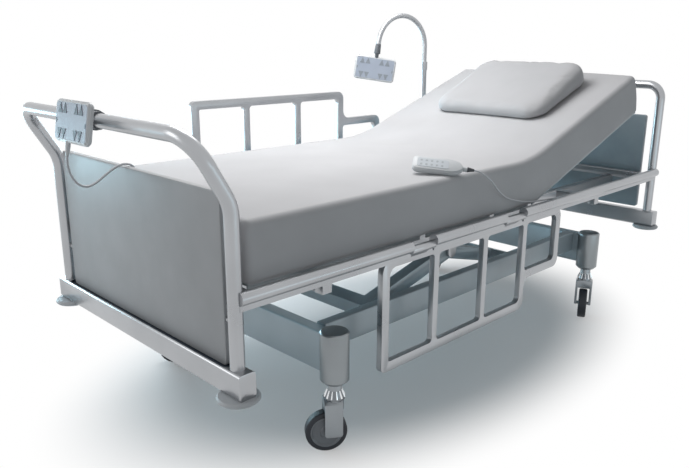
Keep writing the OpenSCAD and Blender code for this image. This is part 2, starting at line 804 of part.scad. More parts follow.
// Lugs on the longitudinals, with the pins of the back and thigh sections
module hinge_lugs() {
    color("silver") place() both_sides() for (x = [-thigh_hinge_x, back_hinge_x]) hinge_lug(x);
}
module hinge_lug(x) {
    along_y(hinge_lug_out - hinge_lug_t, hinge_lug_out) polygon(concat(
        [[x + hinge_lug_r, long_top]],
        arc([x, hinge_z], hinge_lug_r, 0, 180),
        [[x - hinge_lug_r, long_top]]));
    rod_y(x, hinge_z, hinge_pin_d, hinge_lug_out - overrun, section_bar_in + section_bar_t + side_gap);
}
module lift_lug() {
    along_y(foot_arm_out + side_gap, long_out) polygon(concat(
        arc([foot_tip_x, tip_z], lug_r, 180, 360),
        [[foot_tip_x + lug_r, long_top - side_gap], [foot_tip_x - lug_r, long_top - side_gap]]));
    rod_y(foot_tip_x, tip_z, tip_pin_d, foot_arm_out - arm_w - tip_pin_in, long_out);
}

// Sections of the platform, drawn flat in the bed's frame
module sheet(x0, x1) {
    rows = floor((x1 - x0 - 2 * slot_edge) / slot_pitch);
    difference() {
        union() {
            box([x0, -tray_w / 2, tray_top - tray_t], [x1, tray_w / 2, tray_top]);
            both_sides() box([x0, tray_w / 2 - tray_lip_t, tray_top - tray_lip],
                [x1, tray_w / 2, tray_top]);
        }
        for (i = [0:rows], k = [0:1])
            translate([x0 + slot_edge + i * slot_pitch, (k - 0.5) * section_bar_in, tray_top])
                linear_extrude(2 * overrun, center = true)
                    polygon(round_rect(slot_hole_w, section_bar_in * slot_hole_share,
                        slot_hole_w * slot_round_share));
    }
}
module hinged_bars(x, x1) {
    both_sides() difference() {
        union() {
            rod_y(x, hinge_z, hinge_barrel_d, section_bar_in, section_bar_in + section_bar_t);
            box([min(x, x1), section_bar_in, section_low],
                [max(x, x1), section_bar_in + section_bar_t, tray_top - tray_t]);
        }
        rod_y(x, hinge_z, hinge_pin_d + 2 * pin_gap, section_bar_in - overrun,
            section_bar_in + section_bar_t + overrun);
    }
}
module tilted_back() {
    place() translate([back_hinge_x, 0, hinge_z]) rotate([0, -back_angle, 0])
        translate([-back_hinge_x, 0, -hinge_z]) children();
}
module back_section() {
    color("silver") tilted_back() {
        hinged_bars(back_hinge_x, back_hinge_x + back_len);
        sheet(back_hinge_x + tray_end_gap, back_hinge_x + back_len);
    }
}
module seat_section() {
    color("silver") place() {
        sheet(-thigh_hinge_x + tray_end_gap, back_hinge_x - tray_end_gap);
        both_sides() box([-thigh_hinge_x + tray_end_gap, long_out - long_t, long_top],
            [back_hinge_x - tray_end_gap, long_out, tray_top - tray_t]);
    }
}
module thigh_section() {
    color("silver") place() {
        difference() {
            hinged_bars(-thigh_hinge_x, -knee_hinge_x);
            both_sides() rod_y(-knee_hinge_x, hinge_z, hinge_pin_d + 2 * pin_gap,
                section_bar_in - overrun, section_bar_in + section_bar_t + overrun);
        }
        sheet(-knee_hinge_x + tray_end_gap, -thigh_hinge_x - tray_end_gap);
    }
}
module calf_section() {
    color("silver") place() {
        both_sides() {
            box([-calf_end_x, knee_bar_in, section_low],
                [-knee_hinge_x, knee_bar_in + section_bar_t, tray_top - tray_t]);
            rod_y(-knee_hinge_x, hinge_z, hinge_barrel_d, knee_bar_in, knee_bar_in + section_bar_t);
            rod_y(-knee_hinge_x, hinge_z, hinge_pin_d, section_bar_in - side_gap,
                knee_bar_in + section_bar_t);
        }
        sheet(-calf_end_x, -knee_hinge_x - tray_end_gap);
    }
}

// Side rails: sleeves with the accessory strip below them, and between them the
// pins that the guards turn on
sleeve_spans = [
    [foot_x, knuckle_spans_x[0][0] - knuckle_gap],
    [knuckle_spans_x[0][1] + knuckle_gap, knuckle_spans_x[1][0] - knuckle_gap],
    [knuckle_spans_x[1][1] + knuckle_gap, head_x]];
module side_rail() {
    color("silver") difference() {
        union() {
            for (s = knuckle_spans_x)
                rod_x(rail_y, pivot_z, rail_pin_d, s[0] - knuckle_gap - pin_seat,
                    s[1] + knuckle_gap + pin_seat);
            for (s = sleeve_spans) {
                rod_x(rail_y, rail_z, rail_sleeve_d, s[0], s[1]);
                box([s[0], rail_y - strip_t / 2, rail_z - rail_sleeve_d / 2 - strip_h],
                    [s[1], rail_y + strip_t / 2, rail_z - rail_sleeve_d / 4]);
            }
        }
        for (x = [foot_x, head_x]) {
            translate([x, post_y, 0]) cylinder(h = head_bar_z, d = cope_d(end_tube_d));
            translate([x + sign(x) * end_tube_d / 2, 0, 0])
                box([-end_tube_d / 2, 0, 0], [end_tube_d / 2, rail_y + rail_sleeve_d, head_bar_z]);
        }
    }
}
module side_rail_far() {
    place() side_rail();
}
module side_rail_near() {
    place() mirror([0, 1, 0]) side_rail();
}

// A guard, drawn with its pins' axis at zero, hanging down on the +Y side's inner face
guard_low_x = guard_posts_x[0] - guard_bar_w / 2;
guard_high_x = guard_posts_x[4] + guard_bar_w / 2;
guard_top = -guard_drop + guard_inner_w / 2;
guard_bottom = -guard_reach - guard_bar_w / 2;
guard_step = -guard_step_reach - guard_bar_w / 2;
guard_step_x = guard_posts_x[3] + guard_bar_w / 2;
function guard_outline() = concat(
    arc([guard_high_x - guard_corner_r, guard_top - guard_corner_r], guard_corner_r, 0, 90),
    arc([guard_low_x + guard_corner_r, guard_top - guard_corner_r], guard_corner_r, 90, 180),
    arc([guard_low_x + guard_tip_r, guard_bottom + guard_tip_r], guard_tip_r, 180, 270),
    arc([guard_step_x - guard_bay_r, guard_bottom + guard_bay_r], guard_bay_r, 270, 360),
    arc([guard_step_x + guard_step_r, guard_step - guard_step_r], guard_step_r, 180, 90),
    arc([guard_high_x - guard_bay_r, guard_step + guard_bay_r], guard_bay_r, 270, 360));
// Each window has its own radii: top right, top left, lower left, lower right
guard_window_radii = [
    [guard_window_r, 2 * guard_window_r, guard_window_r / 2, guard_window_r],
    [guard_window_r, guard_window_r, guard_window_r, guard_window_r],
    [guard_window_r, guard_window_r, guard_window_r, 1.5 * guard_window_r],
    [2 * guard_window_r, guard_window_r, guard_window_r, 1.5 * guard_window_r]];
module guard_window(i) {
    left = guard_posts_x[i] + (i == 0 ? guard_bar_w : guard_post_w) / 2;
    right = guard_posts_x[i + 1] - (i == 3 ? guard_bar_w : guard_post_w) / 2;
    top = guard_top - guard_inner_w;
    low = (i == 3 ? guard_step : guard_bottom) + guard_bar_w;
    q = guard_window_radii[i];
    polygon(concat(
        arc([right - q[0], top - q[0]], q[0], 0, 90),
        arc([left + q[1], top - q[1]], q[1], 90, 180),
        arc([left + q[2], low + q[2]], q[2], 180, 270),
        arc([right - q[3], low + q[3]], q[3], 270, 360)));
}
module guard_leaf() {
    color("silver") {
        translate([0, -guard_offset, 0]) along_y(-guard_t / 2, guard_t / 2) difference() {
            polygon(guard_outline());
            for (i = [0:3]) guard_window(i);
        }
        for (s = knuckle_spans_x) difference() {
            union() {
                rod_x(0, 0, knuckle_d, s[0], s[1]);
                knuckle_web(s[0] + knuckle_web_inset, s[1] - knuckle_web_inset);
            }
            rod_x(0, 0, rail_pin_d + 2 * pin_gap, s[0] - overrun, s[1] + overrun);
        }
    }
}
module knuckle_web(x0, x1) {
    reach = [-guard_offset, -guard_drop];
    side = knuckle_web_t / 2 * unit([reach.y, -reach.x]);
    along_x(x0, x1) polygon([side, reach + side, reach - side, -side]);
}
module guard_far() {
    place() translate([0, rail_y, pivot_z]) rotate([180, 0, 0]) guard_leaf();
}
module guard_near() {
    place() translate([0, -rail_y, pivot_z]) mirror([0, 1, 0]) guard_leaf();
}

// End frames
module crossbeam(x) {
    along_y(-beam_len / 2, beam_len / 2) translate([x, beam_top - beam_h / 2])
        polygon(round_rect(beam_w, beam_h, beam_edge_r));
}
module slot_cut(w, l, low) {
    translate([foot_panel_out + panel_t / 2 - slot_shift, 0, low]) linear_extrude(beam_top + overrun - low)
        polygon(round_rect(w, l, w * slot_round_share, arc_steps));
}
module crossbeam_foot() {
    color("silver") place() difference() {
        crossbeam(foot_x);
        slot_cut(slot_w, slot_len, beam_top - slot_deep);
    }
}
module crossbeam_head() {
    color("silver") place() crossbeam(head_x);
}
module slot_lining() {
    color("#26303c") place() intersection() {
        difference() {
            slot_cut(slot_w, slot_len, beam_top - slot_deep);
            slot_cut(slot_w - 2 * lining_t, slot_len - 2 * lining_t,
                beam_top - slot_deep + foot_panel_seat);
        }
        box([foot_x - beam_w, -post_y, 0], [foot_x + beam_w, post_y, beam_top]);
    }
}
module corner_bumpers() {
    r = bumper_d / 2;
    color("gray") place() for (x = [foot_x, head_x]) both_sides()
        translate([x, post_y, beam_low - bumper_t]) rotate_extrude() polygon([
            [0, 0], [r - bumper_edge_r, 0], [r, bumper_edge_r],
            [r, bumper_t - bumper_edge_r], [r - bumper_edge_r, bumper_t], [0, bumper_t]]);
}
module foot_tube() {
    lean = atan2(foot_lean, foot_bar_z - foot_bend_z);
    tangent = foot_bend_r * tan(lean / 2);
    rise = foot_bend_z - beam_top - tangent;
    slant = norm([foot_lean, foot_bar_z - foot_bend_z]) - tangent - foot_corner_r;
    color("silver") place() translate([foot_x, -post_y, beam_top]) rotate(180) bent_bar([
        [rise, foot_bend_r, lean, 0],
        [slant, foot_corner_r, 90, -90],
        [post_gauge - 2 * foot_corner_r, foot_corner_r, 90, 0],
        [slant, foot_bend_r, lean, 90],
        [rise]], end_tube_d);
}
module head_tube() {
    rise = head_bar_z - head_corner_r - beam_top;
    color("silver") place() translate([head_x, -post_y, beam_top]) rotate(90) bent_bar([
        [rise, head_corner_r, 90, 0],
        [post_gauge - 2 * head_corner_r, head_corner_r, 90, 0],
        [rise]], end_tube_d);
}
module foot_panel() {
    low = beam_top - slot_deep + foot_panel_seat;
    color("gray") place() along_x(foot_panel_out, foot_panel_out + panel_t)
        translate([0, (low + foot_panel_top) / 2])
            polygon(round_rect(foot_panel_w, foot_panel_top - low, panel_corner_r));
}
module head_panel() {
    low = beam_top + head_panel_gap;
    color("gray") place() along_x(head_panel_in, head_panel_in + panel_t)
        translate([0, (low + head_panel_top) / 2])
            polygon(round_rect(head_panel_w, head_panel_top - low, panel_corner_r));
}
module panel_studs(x, panel_w, z) {
    both_sides() rod_y(x, z, stud_d, panel_w / 2, post_y - end_tube_d / 2 - run_gap);
}
module panel_clips() {
    color("dimgray") place() {
        panel_studs(foot_panel_out + panel_t / 2, foot_panel_w, foot_stud_z);
        panel_studs(head_panel_in + panel_t / 2, head_panel_w, head_stud_z);
        both_sides() {
            box([foot_panel_out + panel_t, foot_panel_w * bracket_y_share,
                hinge_z - tube_edge_r - cross_t / 2],
                [-end_cross_x - cross_t / 2, foot_panel_w * bracket_y_share + bracket_w, hinge_z]);
            box([end_cross_x + cross_t / 2, head_panel_w * bracket_y_share,
                hinge_z - tube_edge_r - cross_t / 2],
                [head_panel_in, head_panel_w * bracket_y_share + bracket_w, hinge_z]);
        }
    }
}

// Mattress sections: rings of points from the underside round the crowned top
function pad_ring(w, h, inset) =
    let (hw = w / 2 - inset, top = h - inset, rt = mattress_edge_r, rb = mattress_low_r,
         side = hw - mattress_side_bulge)
    concat(
        [for (k = [0:round_steps]) let (a = -90 + 90 * k / round_steps)
            [side - rb + rb * cos(a), inset + rb + rb * sin(a)]],
        [[hw, h * mattress_waist_share]],
        [for (k = [0:round_steps]) let (a = 90 * k / round_steps)
            [side - rt + rt * cos(a), top - rt + rt * sin(a)]],
        [for (k = [1:crown_steps - 1]) let (y = (side - rt) * (1 - 2 * k / crown_steps))
            [y, top + mattress_crown * (1 - pow(y / (side - rt), 2))]],
        [for (k = [0:round_steps]) let (a = 90 + 90 * k / round_steps)
            [-side + rt + rt * cos(a), top - rt + rt * sin(a)]],
        [[-hw, h * mattress_waist_share]],
        [for (k = [0:round_steps]) let (a = 180 + 90 * k / round_steps)
            [-side + rb + rb * cos(a), inset + rb + rb * sin(a)]]);
// A station is its underside point, its top point and how far its outline is drawn in
function pad_station(s) =
    let (up = s[1] - s[0], h = norm(up))
    [for (q = pad_ring(mattress_w, mattress_t, s[2]))
        [s[0].x + up.x * q.y / mattress_t, q.x, s[0].y + up.y * q.y / mattress_t]];
module pad(stations) {
    color("gainsboro") swept([for (s = stations) pad_station(s)]);
}
function upright(x, inset = 0) = [[x, mattress_low], [x, mattress_top], inset];
function leaning(x, a, share = 1) = [
    [x + (mattress_low - hinge_z) * tan(a) * share, mattress_low],
    [x + (mattress_top - hinge_z) * tan(a) * share, mattress_top], 0];
function end_stations(x, dir) = [
    for (k = [0:end_steps]) let (a = 90 * k / end_steps)
        upright(x - dir * mattress_end_r * (1 - sin(a)),
            mattress_end_r * (1 - cos(a)) * mattress_end_share)];
function reversed(v) = [for (i = [len(v) - 1:-1:0]) v[i]];
blend_x = (mattress_top - hinge_z) * tan(back_fold_angle);
module mattress_back() {
    tilted_back() pad(concat(
        [leaning(back_hinge_x + fold_gap, back_fold_angle),
            leaning(back_hinge_x + blend_x / 2, back_fold_angle, 0.5)],
        [upright(back_hinge_x + fold_blend_share * blend_x),
            upright(back_hinge_x + mattress_back_len * mattress_middle_share)],
        reversed([for (k = [0:end_steps]) let (a = 90 * k / end_steps)
            upright(back_hinge_x + mattress_back_len - mattress_end_r * (1 - cos(a)),
                mattress_end_r * (1 - sin(a)) * mattress_end_share)])));
}
function from_back(p) = [back_hinge_x, hinge_z] + turned(p - [back_hinge_x, hinge_z], back_angle);
fold_seat = leaning(back_hinge_x, -back_fold_angle);
fold_back = leaning(back_hinge_x, back_fold_angle);
fold_a = fold_seat[1];
fold_b = from_back(fold_back[1]);
fold_mid = fold_a + [norm(fold_b - fold_a) / 2 / cos(back_angle / 2), 0];
module mattress_back_fold() {
    place() pad([
        for (k = [0:fold_steps]) let (t = k / fold_steps)
            [fold_seat[0] * (1 - t) + from_back(fold_back[0]) * t,
             fold_a * pow(1 - t, 2) + fold_mid * 2 * t * (1 - t) + fold_b * pow(t, 2), 0]]);
}
module mattress_seat() {
    place() pad([
        leaning(-thigh_hinge_x, thigh_fold_angle), leaning(back_hinge_x, -back_fold_angle)]);
}
module mattress_thigh_fold() {
    place() pad([
        leaning(-thigh_hinge_x, -thigh_fold_angle), leaning(-thigh_hinge_x, thigh_fold_angle)]);
}
module mattress_thigh() {
    place() pad([upright(-knee_hinge_x), upright(-(knee_hinge_x + thigh_hinge_x) / 2),
        leaning(-thigh_hinge_x, -thigh_fold_angle)]);
}
module mattress_calf() {
    place() pad(concat(
        [for (k = [0:end_steps]) let (a = 90 * k / end_steps)
            upright(-mattress_foot_x + mattress_end_r * (1 - cos(a)),
                mattress_end_r * (1 - sin(a)) * mattress_end_share)],
        [upright(-mattress_foot_x * mattress_middle_share), upright(-knee_hinge_x)]));
}

// Pillow: a foam wedge, drawn as outlines stacked from its underside to its top
pillow_low = mattress_top + mattress_crown + run_gap;
function pillow_height(x) =
    pillow_foot_h + (pillow_head_h - pillow_foot_h) * x / pillow_len - pillow_dip * sin(180 * x / pillow_len);
function pillow_ring(k) = [
    for (p = round_rect(pillow_len - 2 * pillow_insets[k], pillow_w - 2 * pillow_insets[k],
            pillow_corner_r - pillow_insets[k]))
        let (x = p.x + pillow_len / 2)
        [back_hinge_x + pillow_start + x, pillow_side + p.y,
            pillow_low + pillow_rise_shares[k] * pillow_height(x)]];
module pillow() {
    color("whitesmoke") tilted_back() swept([for (k = [0:len(pillow_insets) - 1]) pillow_ring(k)]);
}

// Keypads: a bevelled box, drawn facing +Z, with its membrane and arrow keys
module keypad_box() {
    for (s = [-1, 1])
        translate([0, 0, s * (keypad_t / 2 - keypad_edge)]) mirror([0, 0, s < 0 ? 1 : 0])
            for (k = [0:1]) translate([0, 0, k * keypad_edge / 2]) linear_extrude(keypad_edge / 2)
                polygon(round_rect(keypad_w - (k + 1) * keypad_edge, keypad_h - (k + 1) * keypad_edge,
                    keypad_corner_r - (k + 1) * keypad_edge / 2));
    translate([0, 0, -keypad_t / 2 + keypad_edge]) linear_extrude(keypad_t - 2 * keypad_edge)
        polygon(round_rect(keypad_w, keypad_h, keypad_corner_r));
}
module keypad_shell() {
    difference() {
        keypad_box();
        translate([0, 0, keypad_t / 2 - membrane_seat]) linear_extrude(membrane_seat + overrun)
            polygon(round_rect(keypad_w - 2 * keypad_window, keypad_h - 2 * keypad_window,
                keypad_corner_r / 2));
    }
}
module keypad_membrane() {
    w = keypad_w - 2 * keypad_window - run_gap;
    h = keypad_h - 2 * keypad_window - run_gap;
    translate([0, 0, keypad_t / 2 - membrane_seat]) linear_extrude(membrane_t)
        polygon(round_rect(w, h, keypad_corner_r / 2));
    for (x = arrow_x_shares, s = [-1, 1])
        translate([x * keypad_w, s * arrow_y_share * keypad_h, keypad_t / 2 - membrane_seat + membrane_t])
            linear_extrude(arrow_t) scale([1, s])
                polygon([[-arrow_w / 2, -arrow_h / 2], [arrow_w / 2, -arrow_h / 2], [0, arrow_h / 2]]);
}
module foot_control() {
    color("whitesmoke") place() {
        multmatrix(control_frame) {
            keypad_shell();
            translate([control_y, -keypad_h / 2, 0]) rotate([90, 0, 0]) {
                translate([0, 0, -keypad_edge]) cylinder(h = keypad_edge + relief_root_h, d = relief_d);
                translate([0, 0, relief_root_h])
                    cylinder(h = relief_h - relief_root_h, d1 = relief_d, d2 = relief_tip_d);
            }
        }
    }
}
module foot_membrane() {
    color("#9aa7bd") place() multmatrix(control_frame) keypad_membrane();
}
module foot_control_clamp() {
    half = clamp_w * clamp_block_share;
    seat = (end_tube_d + clamp_d) / 4;
    color("gray") place() difference() {
        union() {
            rod_y(foot_bar_x, foot_bar_z, clamp_d, control_y - clamp_w / 2, control_y + clamp_w / 2);
            rod_y(foot_bar_x, foot_bar_z, clamp_ring_d,
                control_y - clamp_ring_w / 2, control_y + clamp_ring_w / 2);
            multmatrix(control_frame)
                box([-half, -clamp_d / 4, seat - control_reach], [half, clamp_d / 4, -keypad_t / 2]);
        }
        rod_y(foot_bar_x, foot_bar_z, cope_d(end_tube_d), control_y - clamp_w, control_y + clamp_w);
    }
}

// Gooseneck
module gooseneck_clamp() {
    h = goose_clamp_w / 2;
    color("gray") place() difference() {
        translate([goose_x, goose_y, goose_clamp_low]) linear_extrude(goose_clamp_top - goose_clamp_low)
            polygon(round_rect(goose_clamp_w, goose_clamp_w, tube_edge_r));
        translate([goose_x, goose_y, goose_post_low])
            cylinder(h = goose_clamp_top, d = goose_post_d + 2 * pin_gap);
        rod_x(rail_y, rail_z, cope_d(rail_sleeve_d), goose_x - h - overrun, goose_x + h + overrun);
        box([goose_x - h - overrun, rail_y - strip_t / 2 - run_gap, 0],
            [goose_x + h + overrun, rail_y + strip_t / 2 + run_gap, rail_z]);
    }
}
module gooseneck_post() {
    color("silver") place() translate([goose_x, goose_y, 0]) {
        translate([0, 0, goose_post_low + run_gap])
            cylinder(h = goose_collar_z - goose_post_low - run_gap, d = goose_post_d);
        translate([0, 0, goose_collar_z]) cylinder(h = goose_collar_h, d = goose_collar_d);
    }
}
module gooseneck_hose() {
    low = goose_collar_z + goose_collar_h;
    color("silver") place() translate([goose_x, goose_y, low]) rotate(180 - goose_out_turn) bent_bar([
        [goose_arc_z - low, goose_arc_r, goose_sweep, 0],
        [goose_tail]], goose_hose_d);
}
module gooseneck_panel() {
    color("whitesmoke") place() multmatrix(goose_frame) {
        keypad_shell();
        translate([0, keypad_h / 2 - keypad_edge, 0]) rotate([-90, 0, 0])
            cylinder(h = goose_neck_l + keypad_edge, d = goose_neck_d);
        translate([0, keypad_h / 2 + goose_neck_l, 0]) rotate([-90, 0, 0])
            cylinder(h = goose_sleeve_l - goose_neck_gap, d1 = goose_sleeve_d, d2 = goose_sleeve_tip_d);
    }
}
module gooseneck_membrane() {
    color("#9aa7bd") place() multmatrix(goose_frame) keypad_membrane();
}

// Handset: x along its length to the cord's end, y up its face, z out of its face
handset_level = [cos(handset_turn), sin(handset_turn), 0];
handset_back = [-sin(handset_turn), cos(handset_turn), 0];
handset_side = cos(handset_dip) * handset_level - [0, 0, sin(handset_dip)];
handset_up = sin(handset_dip) * handset_level + [0, 0, cos(handset_dip)];
handset_z = -sin(handset_tilt) * handset_back + cos(handset_tilt) * handset_up;
handset_y = cos(handset_tilt) * handset_back + sin(handset_tilt) * handset_up;
handset_lift = handset_w / 2 * sin(handset_tilt) + handset_t / 2 * cos(handset_tilt) - handset_settle;
handset_centre = [handset_at.x, handset_at.y, mattress_top + mattress_crown + run_gap + handset_lift];
handset_frame = frame_of(handset_side, handset_y, handset_z, handset_centre);
echo(handset_tip = handset_centre
    + (handset_len / 2 + handset_neck_l + handset_relief_l + run_gap) * handset_side, dir = handset_side);
function handset_outline(inset) =
    let (l = handset_len / 2 - inset, w = handset_w / 2 - inset, n = handset_len / 2 - handset_nose)
    concat(
        [for (k = [0:arc_steps]) let (a = -90 + 180 * k / arc_steps)
            [n + (l - n) * cos(a), w * sin(a)]],
        arc([-l + handset_tail_r, w - handset_tail_r], handset_tail_r, 90, 180, corner_steps),
        arc([-l + handset_tail_r, -w + handset_tail_r], handset_tail_r, 180, 270, corner_steps));
module handset() {
    color("whitesmoke") place() multmatrix(handset_frame) {
        for (s = [-1, 1], k = [0:1])
            translate([0, 0, s > 0 ? handset_t / 2 - handset_edge + k * handset_edge / 2
                : -handset_t / 2 + (1 - k) * handset_edge / 2])
                linear_extrude(handset_edge / 2) polygon(handset_outline((k + 1) * handset_edge / 3));
        translate([0, 0, -handset_t / 2 + handset_edge]) linear_extrude(handset_t - 2 * handset_edge)
            polygon(handset_outline(0));
        translate([handset_len / 2 - handset_edge, 0, 0]) rotate([0, 90, 0])
            cylinder(h = handset_neck_l + handset_edge, d = handset_neck_d);
        translate([handset_len / 2 + handset_neck_l, 0, 0]) rotate([0, 90, 0])
            cylinder(h = handset_relief_l, d1 = handset_relief_d, d2 = handset_relief_tip_d);
        box([-handset_len / 4, handset_w / 2 - hook_lip, -handset_t / 2 - hook_reach],
            [hook_w - handset_len / 4, handset_w / 2 - hook_lip + hook_t, -handset_t / 2]);
        box([-handset_len / 4, handset_w / 2 - 2 * hook_lip, -handset_t / 2 - hook_reach],
            [hook_w - handset_len / 4, handset_w / 2 - hook_lip + hook_t,
                hook_t - handset_t / 2 - hook_reach]);
    }
}
module handset_membrane() {
    color("#9aa7bd") place() multmatrix(handset_frame)
        translate([-handset_nose / 3, 0, handset_t / 2]) linear_extrude(membrane_t)
            polygon(round_rect(handset_len * handset_film_share, handset_w * handset_film_share,
                keypad_corner_r / 2));
}
module handset_cord() {
    color("lightgray") place() swept(cord_rings(handset_cord_route, handset_cord_d, [0, 1, 0]));
}
module foot_control_cord() {
    color("lightgray") place() swept(cord_rings(control_cord_route, control_cord_d, [0, 1, 0]));
}

base_side_near();
base_side_far();
base_end_foot();
base_end_head();
fork(0);  // fork_foot_near
fork(1);  // fork_foot_far
fork(2);  // fork_head_near
fork(3);  // fork_head_far
hub(0);  // hub_foot_near
hub(1);  // hub_foot_far
hub(2);  // hub_head_near
hub(3);  // hub_head_far
tyre(0);  // tyre_foot_near
tyre(1);  // tyre_foot_far
tyre(2);  // tyre_head_near
tyre(3);  // tyre_head_far
lift_frame_foot();
lift_frame_head();
lift_rollers();
lift_channels();
platform_frame();
platform_ends();
hinge_lugs();
rail_blocks();
back_section();
seat_section();
thigh_section();
calf_section();
side_rail_near();
side_rail_far();
guard_near();
guard_far();
crossbeam_foot();
crossbeam_head();
corner_bumpers();
foot_tube();
head_tube();
foot_panel();
head_panel();
slot_lining();
panel_clips();
mattress_back();
mattress_back_fold();
mattress_seat();
mattress_thigh_fold();
mattress_thigh();
mattress_calf();
pillow();
gooseneck_clamp();
gooseneck_post();
gooseneck_hose();
gooseneck_panel();
gooseneck_membrane();
foot_control();
foot_membrane();
foot_control_clamp();
handset();
handset_membrane();
handset_cord();
foot_control_cord();
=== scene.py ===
# %% [markdown]
# # A hospital bed in its studio
# This notebook dresses a ready made model of a ward bed. The steel, the wheels
# and the hinges arrive as a fixed frame, and each cell adds one thing that the
# eye expects: a camera, cables, soft goods, finishes and light. The scene is in
# metres, and the bed's own measures are written in millimetres.

# %% Load the frame
import json
import math
import bmesh
import bpy
from mathutils import Matrix, Vector
from mathutils.bvhtree import BVHTree

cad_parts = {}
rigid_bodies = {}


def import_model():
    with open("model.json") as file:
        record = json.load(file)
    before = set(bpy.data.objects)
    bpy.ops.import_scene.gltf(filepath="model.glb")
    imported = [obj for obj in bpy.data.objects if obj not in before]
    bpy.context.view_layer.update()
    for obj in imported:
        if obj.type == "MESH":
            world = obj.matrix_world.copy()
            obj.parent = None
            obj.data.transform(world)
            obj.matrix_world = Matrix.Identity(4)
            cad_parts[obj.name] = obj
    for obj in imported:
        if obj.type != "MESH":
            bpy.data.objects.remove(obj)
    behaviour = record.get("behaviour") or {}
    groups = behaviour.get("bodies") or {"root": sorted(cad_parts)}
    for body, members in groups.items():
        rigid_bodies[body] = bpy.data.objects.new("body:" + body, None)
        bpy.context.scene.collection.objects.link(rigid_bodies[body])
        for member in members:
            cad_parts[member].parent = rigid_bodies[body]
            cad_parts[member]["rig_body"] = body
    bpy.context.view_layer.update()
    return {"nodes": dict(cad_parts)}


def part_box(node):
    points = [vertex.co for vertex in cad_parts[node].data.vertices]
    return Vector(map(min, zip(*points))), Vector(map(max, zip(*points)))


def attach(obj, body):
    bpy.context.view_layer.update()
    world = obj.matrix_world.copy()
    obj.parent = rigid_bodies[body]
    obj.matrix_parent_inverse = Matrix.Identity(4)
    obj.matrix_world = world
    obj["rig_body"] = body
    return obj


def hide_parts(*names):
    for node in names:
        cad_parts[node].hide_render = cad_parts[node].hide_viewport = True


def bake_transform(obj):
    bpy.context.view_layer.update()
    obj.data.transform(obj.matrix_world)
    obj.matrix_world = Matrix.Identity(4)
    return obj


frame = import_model()

# %% [markdown]
# The builder of a bed measures from the middle of its end frames, so this cell
# finds that point in the frame and gives every later cell one helper, `bed`,
# which turns bed places in millimetres into scene places in metres.

# %% Find the middle of the bed
MM = 0.001


def middle_of(node):
    low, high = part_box(node)
    return (low + high) / 2


foot_beam, head_beam = middle_of("crossbeam_foot"), middle_of("crossbeam_head")
bed_middle = Vector(((foot_beam.x + head_beam.x) / 2, foot_beam.y, 0))


def bed(x, y, z):
    return bed_middle + Vector((x, y, z)) * MM


print("middle of the bed", tuple(round(v, 4) for v in bed_middle))

# %% [markdown]
# A camera is three facts: where it stands, which way it looks, and how wide it
# sees. The yaw is measured from the bed's length, the pitch is downward, and the
# focal length was found from the straight members of the end frames.

# %% Place the camera
VIEW_YAW, VIEW_PITCH, VIEW_ROLL = 45.51, 15.61, 0.18
FOCAL_PX, FRAME_W = 700.3, 689
SENSOR = 36.0
VIEW_FROM = (-1872.5, -1579.5, 1062.2)

camera = bpy.data.objects.new("camera", bpy.data.cameras.new("camera"))
bpy.context.scene.collection.objects.link(camera)
camera.location = bed(*VIEW_FROM)
camera.rotation_euler = (
    Matrix.Rotation(math.radians(VIEW_YAW - 90), 3, "Z")
    @ Matrix.Rotation(math.radians(90 - VIEW_PITCH), 3, "X")
    @ Matrix.Rotation(math.radians(VIEW_ROLL), 3, "Z")
).to_euler()
camera.data.sensor_width = SENSOR
camera.data.lens = FOCAL_PX / FRAME_W * SENSOR
bpy.context.scene.camera = camera
print("lens", round(camera.data.lens, 2), "mm")

# %% [markdown]
# Colours are written as a designer writes them, in hex, and one function turns
# them into the linear light that the renderer adds up. One more function adds a
# node with its settings and links, so that a material reads as a short recipe.

# %% Colour and node helpers
def linear(hex_colour):
    parts = [int(hex_colour[i : i + 2], 16) / 255 for i in (1, 3, 5)]
    return [p / 12.92 if p <= 0.04045 else ((p + 0.055) / 1.055) ** 2.4 for p in parts] + [1.0]


def add(tree, kind, settings=None, links=None):
    """A node with its settings and links; a number stands for a socket's place."""
    made = tree.nodes.new(kind)
    for name, value in (settings or {}).items():
        if isinstance(name, str) and name not in made.inputs:
            setattr(made, name, value)
        else:
            made.inputs[name].default_value = value
    for name, source in (links or {}).items():
        tree.links.new(source, made.inputs[name])
    return made


def new_material(name):
    made = bpy.data.materials.new(name)
    made.use_nodes = True
    made.node_tree.nodes.clear()
    return made, made.node_tree


def close_material(tree, surface):
    add(tree, "ShaderNodeOutputMaterial", links={"Surface": surface.outputs[0]})


def grain(tree, size_mm, detail=3.0):
    place = add(tree, "ShaderNodeTexCoord")
    noise = add(
        tree, "ShaderNodeTexNoise", {"Scale": 1000.0 / size_mm, "Detail": detail},
        {"Vector": place.outputs["Object"]},
    )
    return noise.outputs["Fac"]


def shades(tree, factor, dark, light, low=0.3, high=0.7):
    ramp = add(tree, "ShaderNodeValToRGB", links={"Fac": factor})
    for stop, at, colour in zip(ramp.color_ramp.elements, (low, high), (dark, light)):
        stop.position, stop.color = at, linear(colour)
    return ramp.outputs["Color"]


def spread(tree, factor, low, high):
    made = add(tree, "ShaderNodeMapRange", {"To Min": low, "To Max": high}, {"Value": factor})
    return made.outputs["Result"]


def relief(tree, height, depth_mm, strength=1.0):
    made = add(
        tree, "ShaderNodeBump", {"Strength": strength, "Distance": depth_mm * MM}, {"Height": height}
    )
    return made.outputs["Normal"]


print("helpers ready")

# %% [markdown]
# The tubes and guards of such a bed are steel with a silver powder coat. The
# powder melts into a skin with a faint orange peel, about two millimetres from
# dimple to dimple, and its aluminium flakes give a broad, soft highlight. A
# slow mottle in its roughness stands for a few years of wiping.

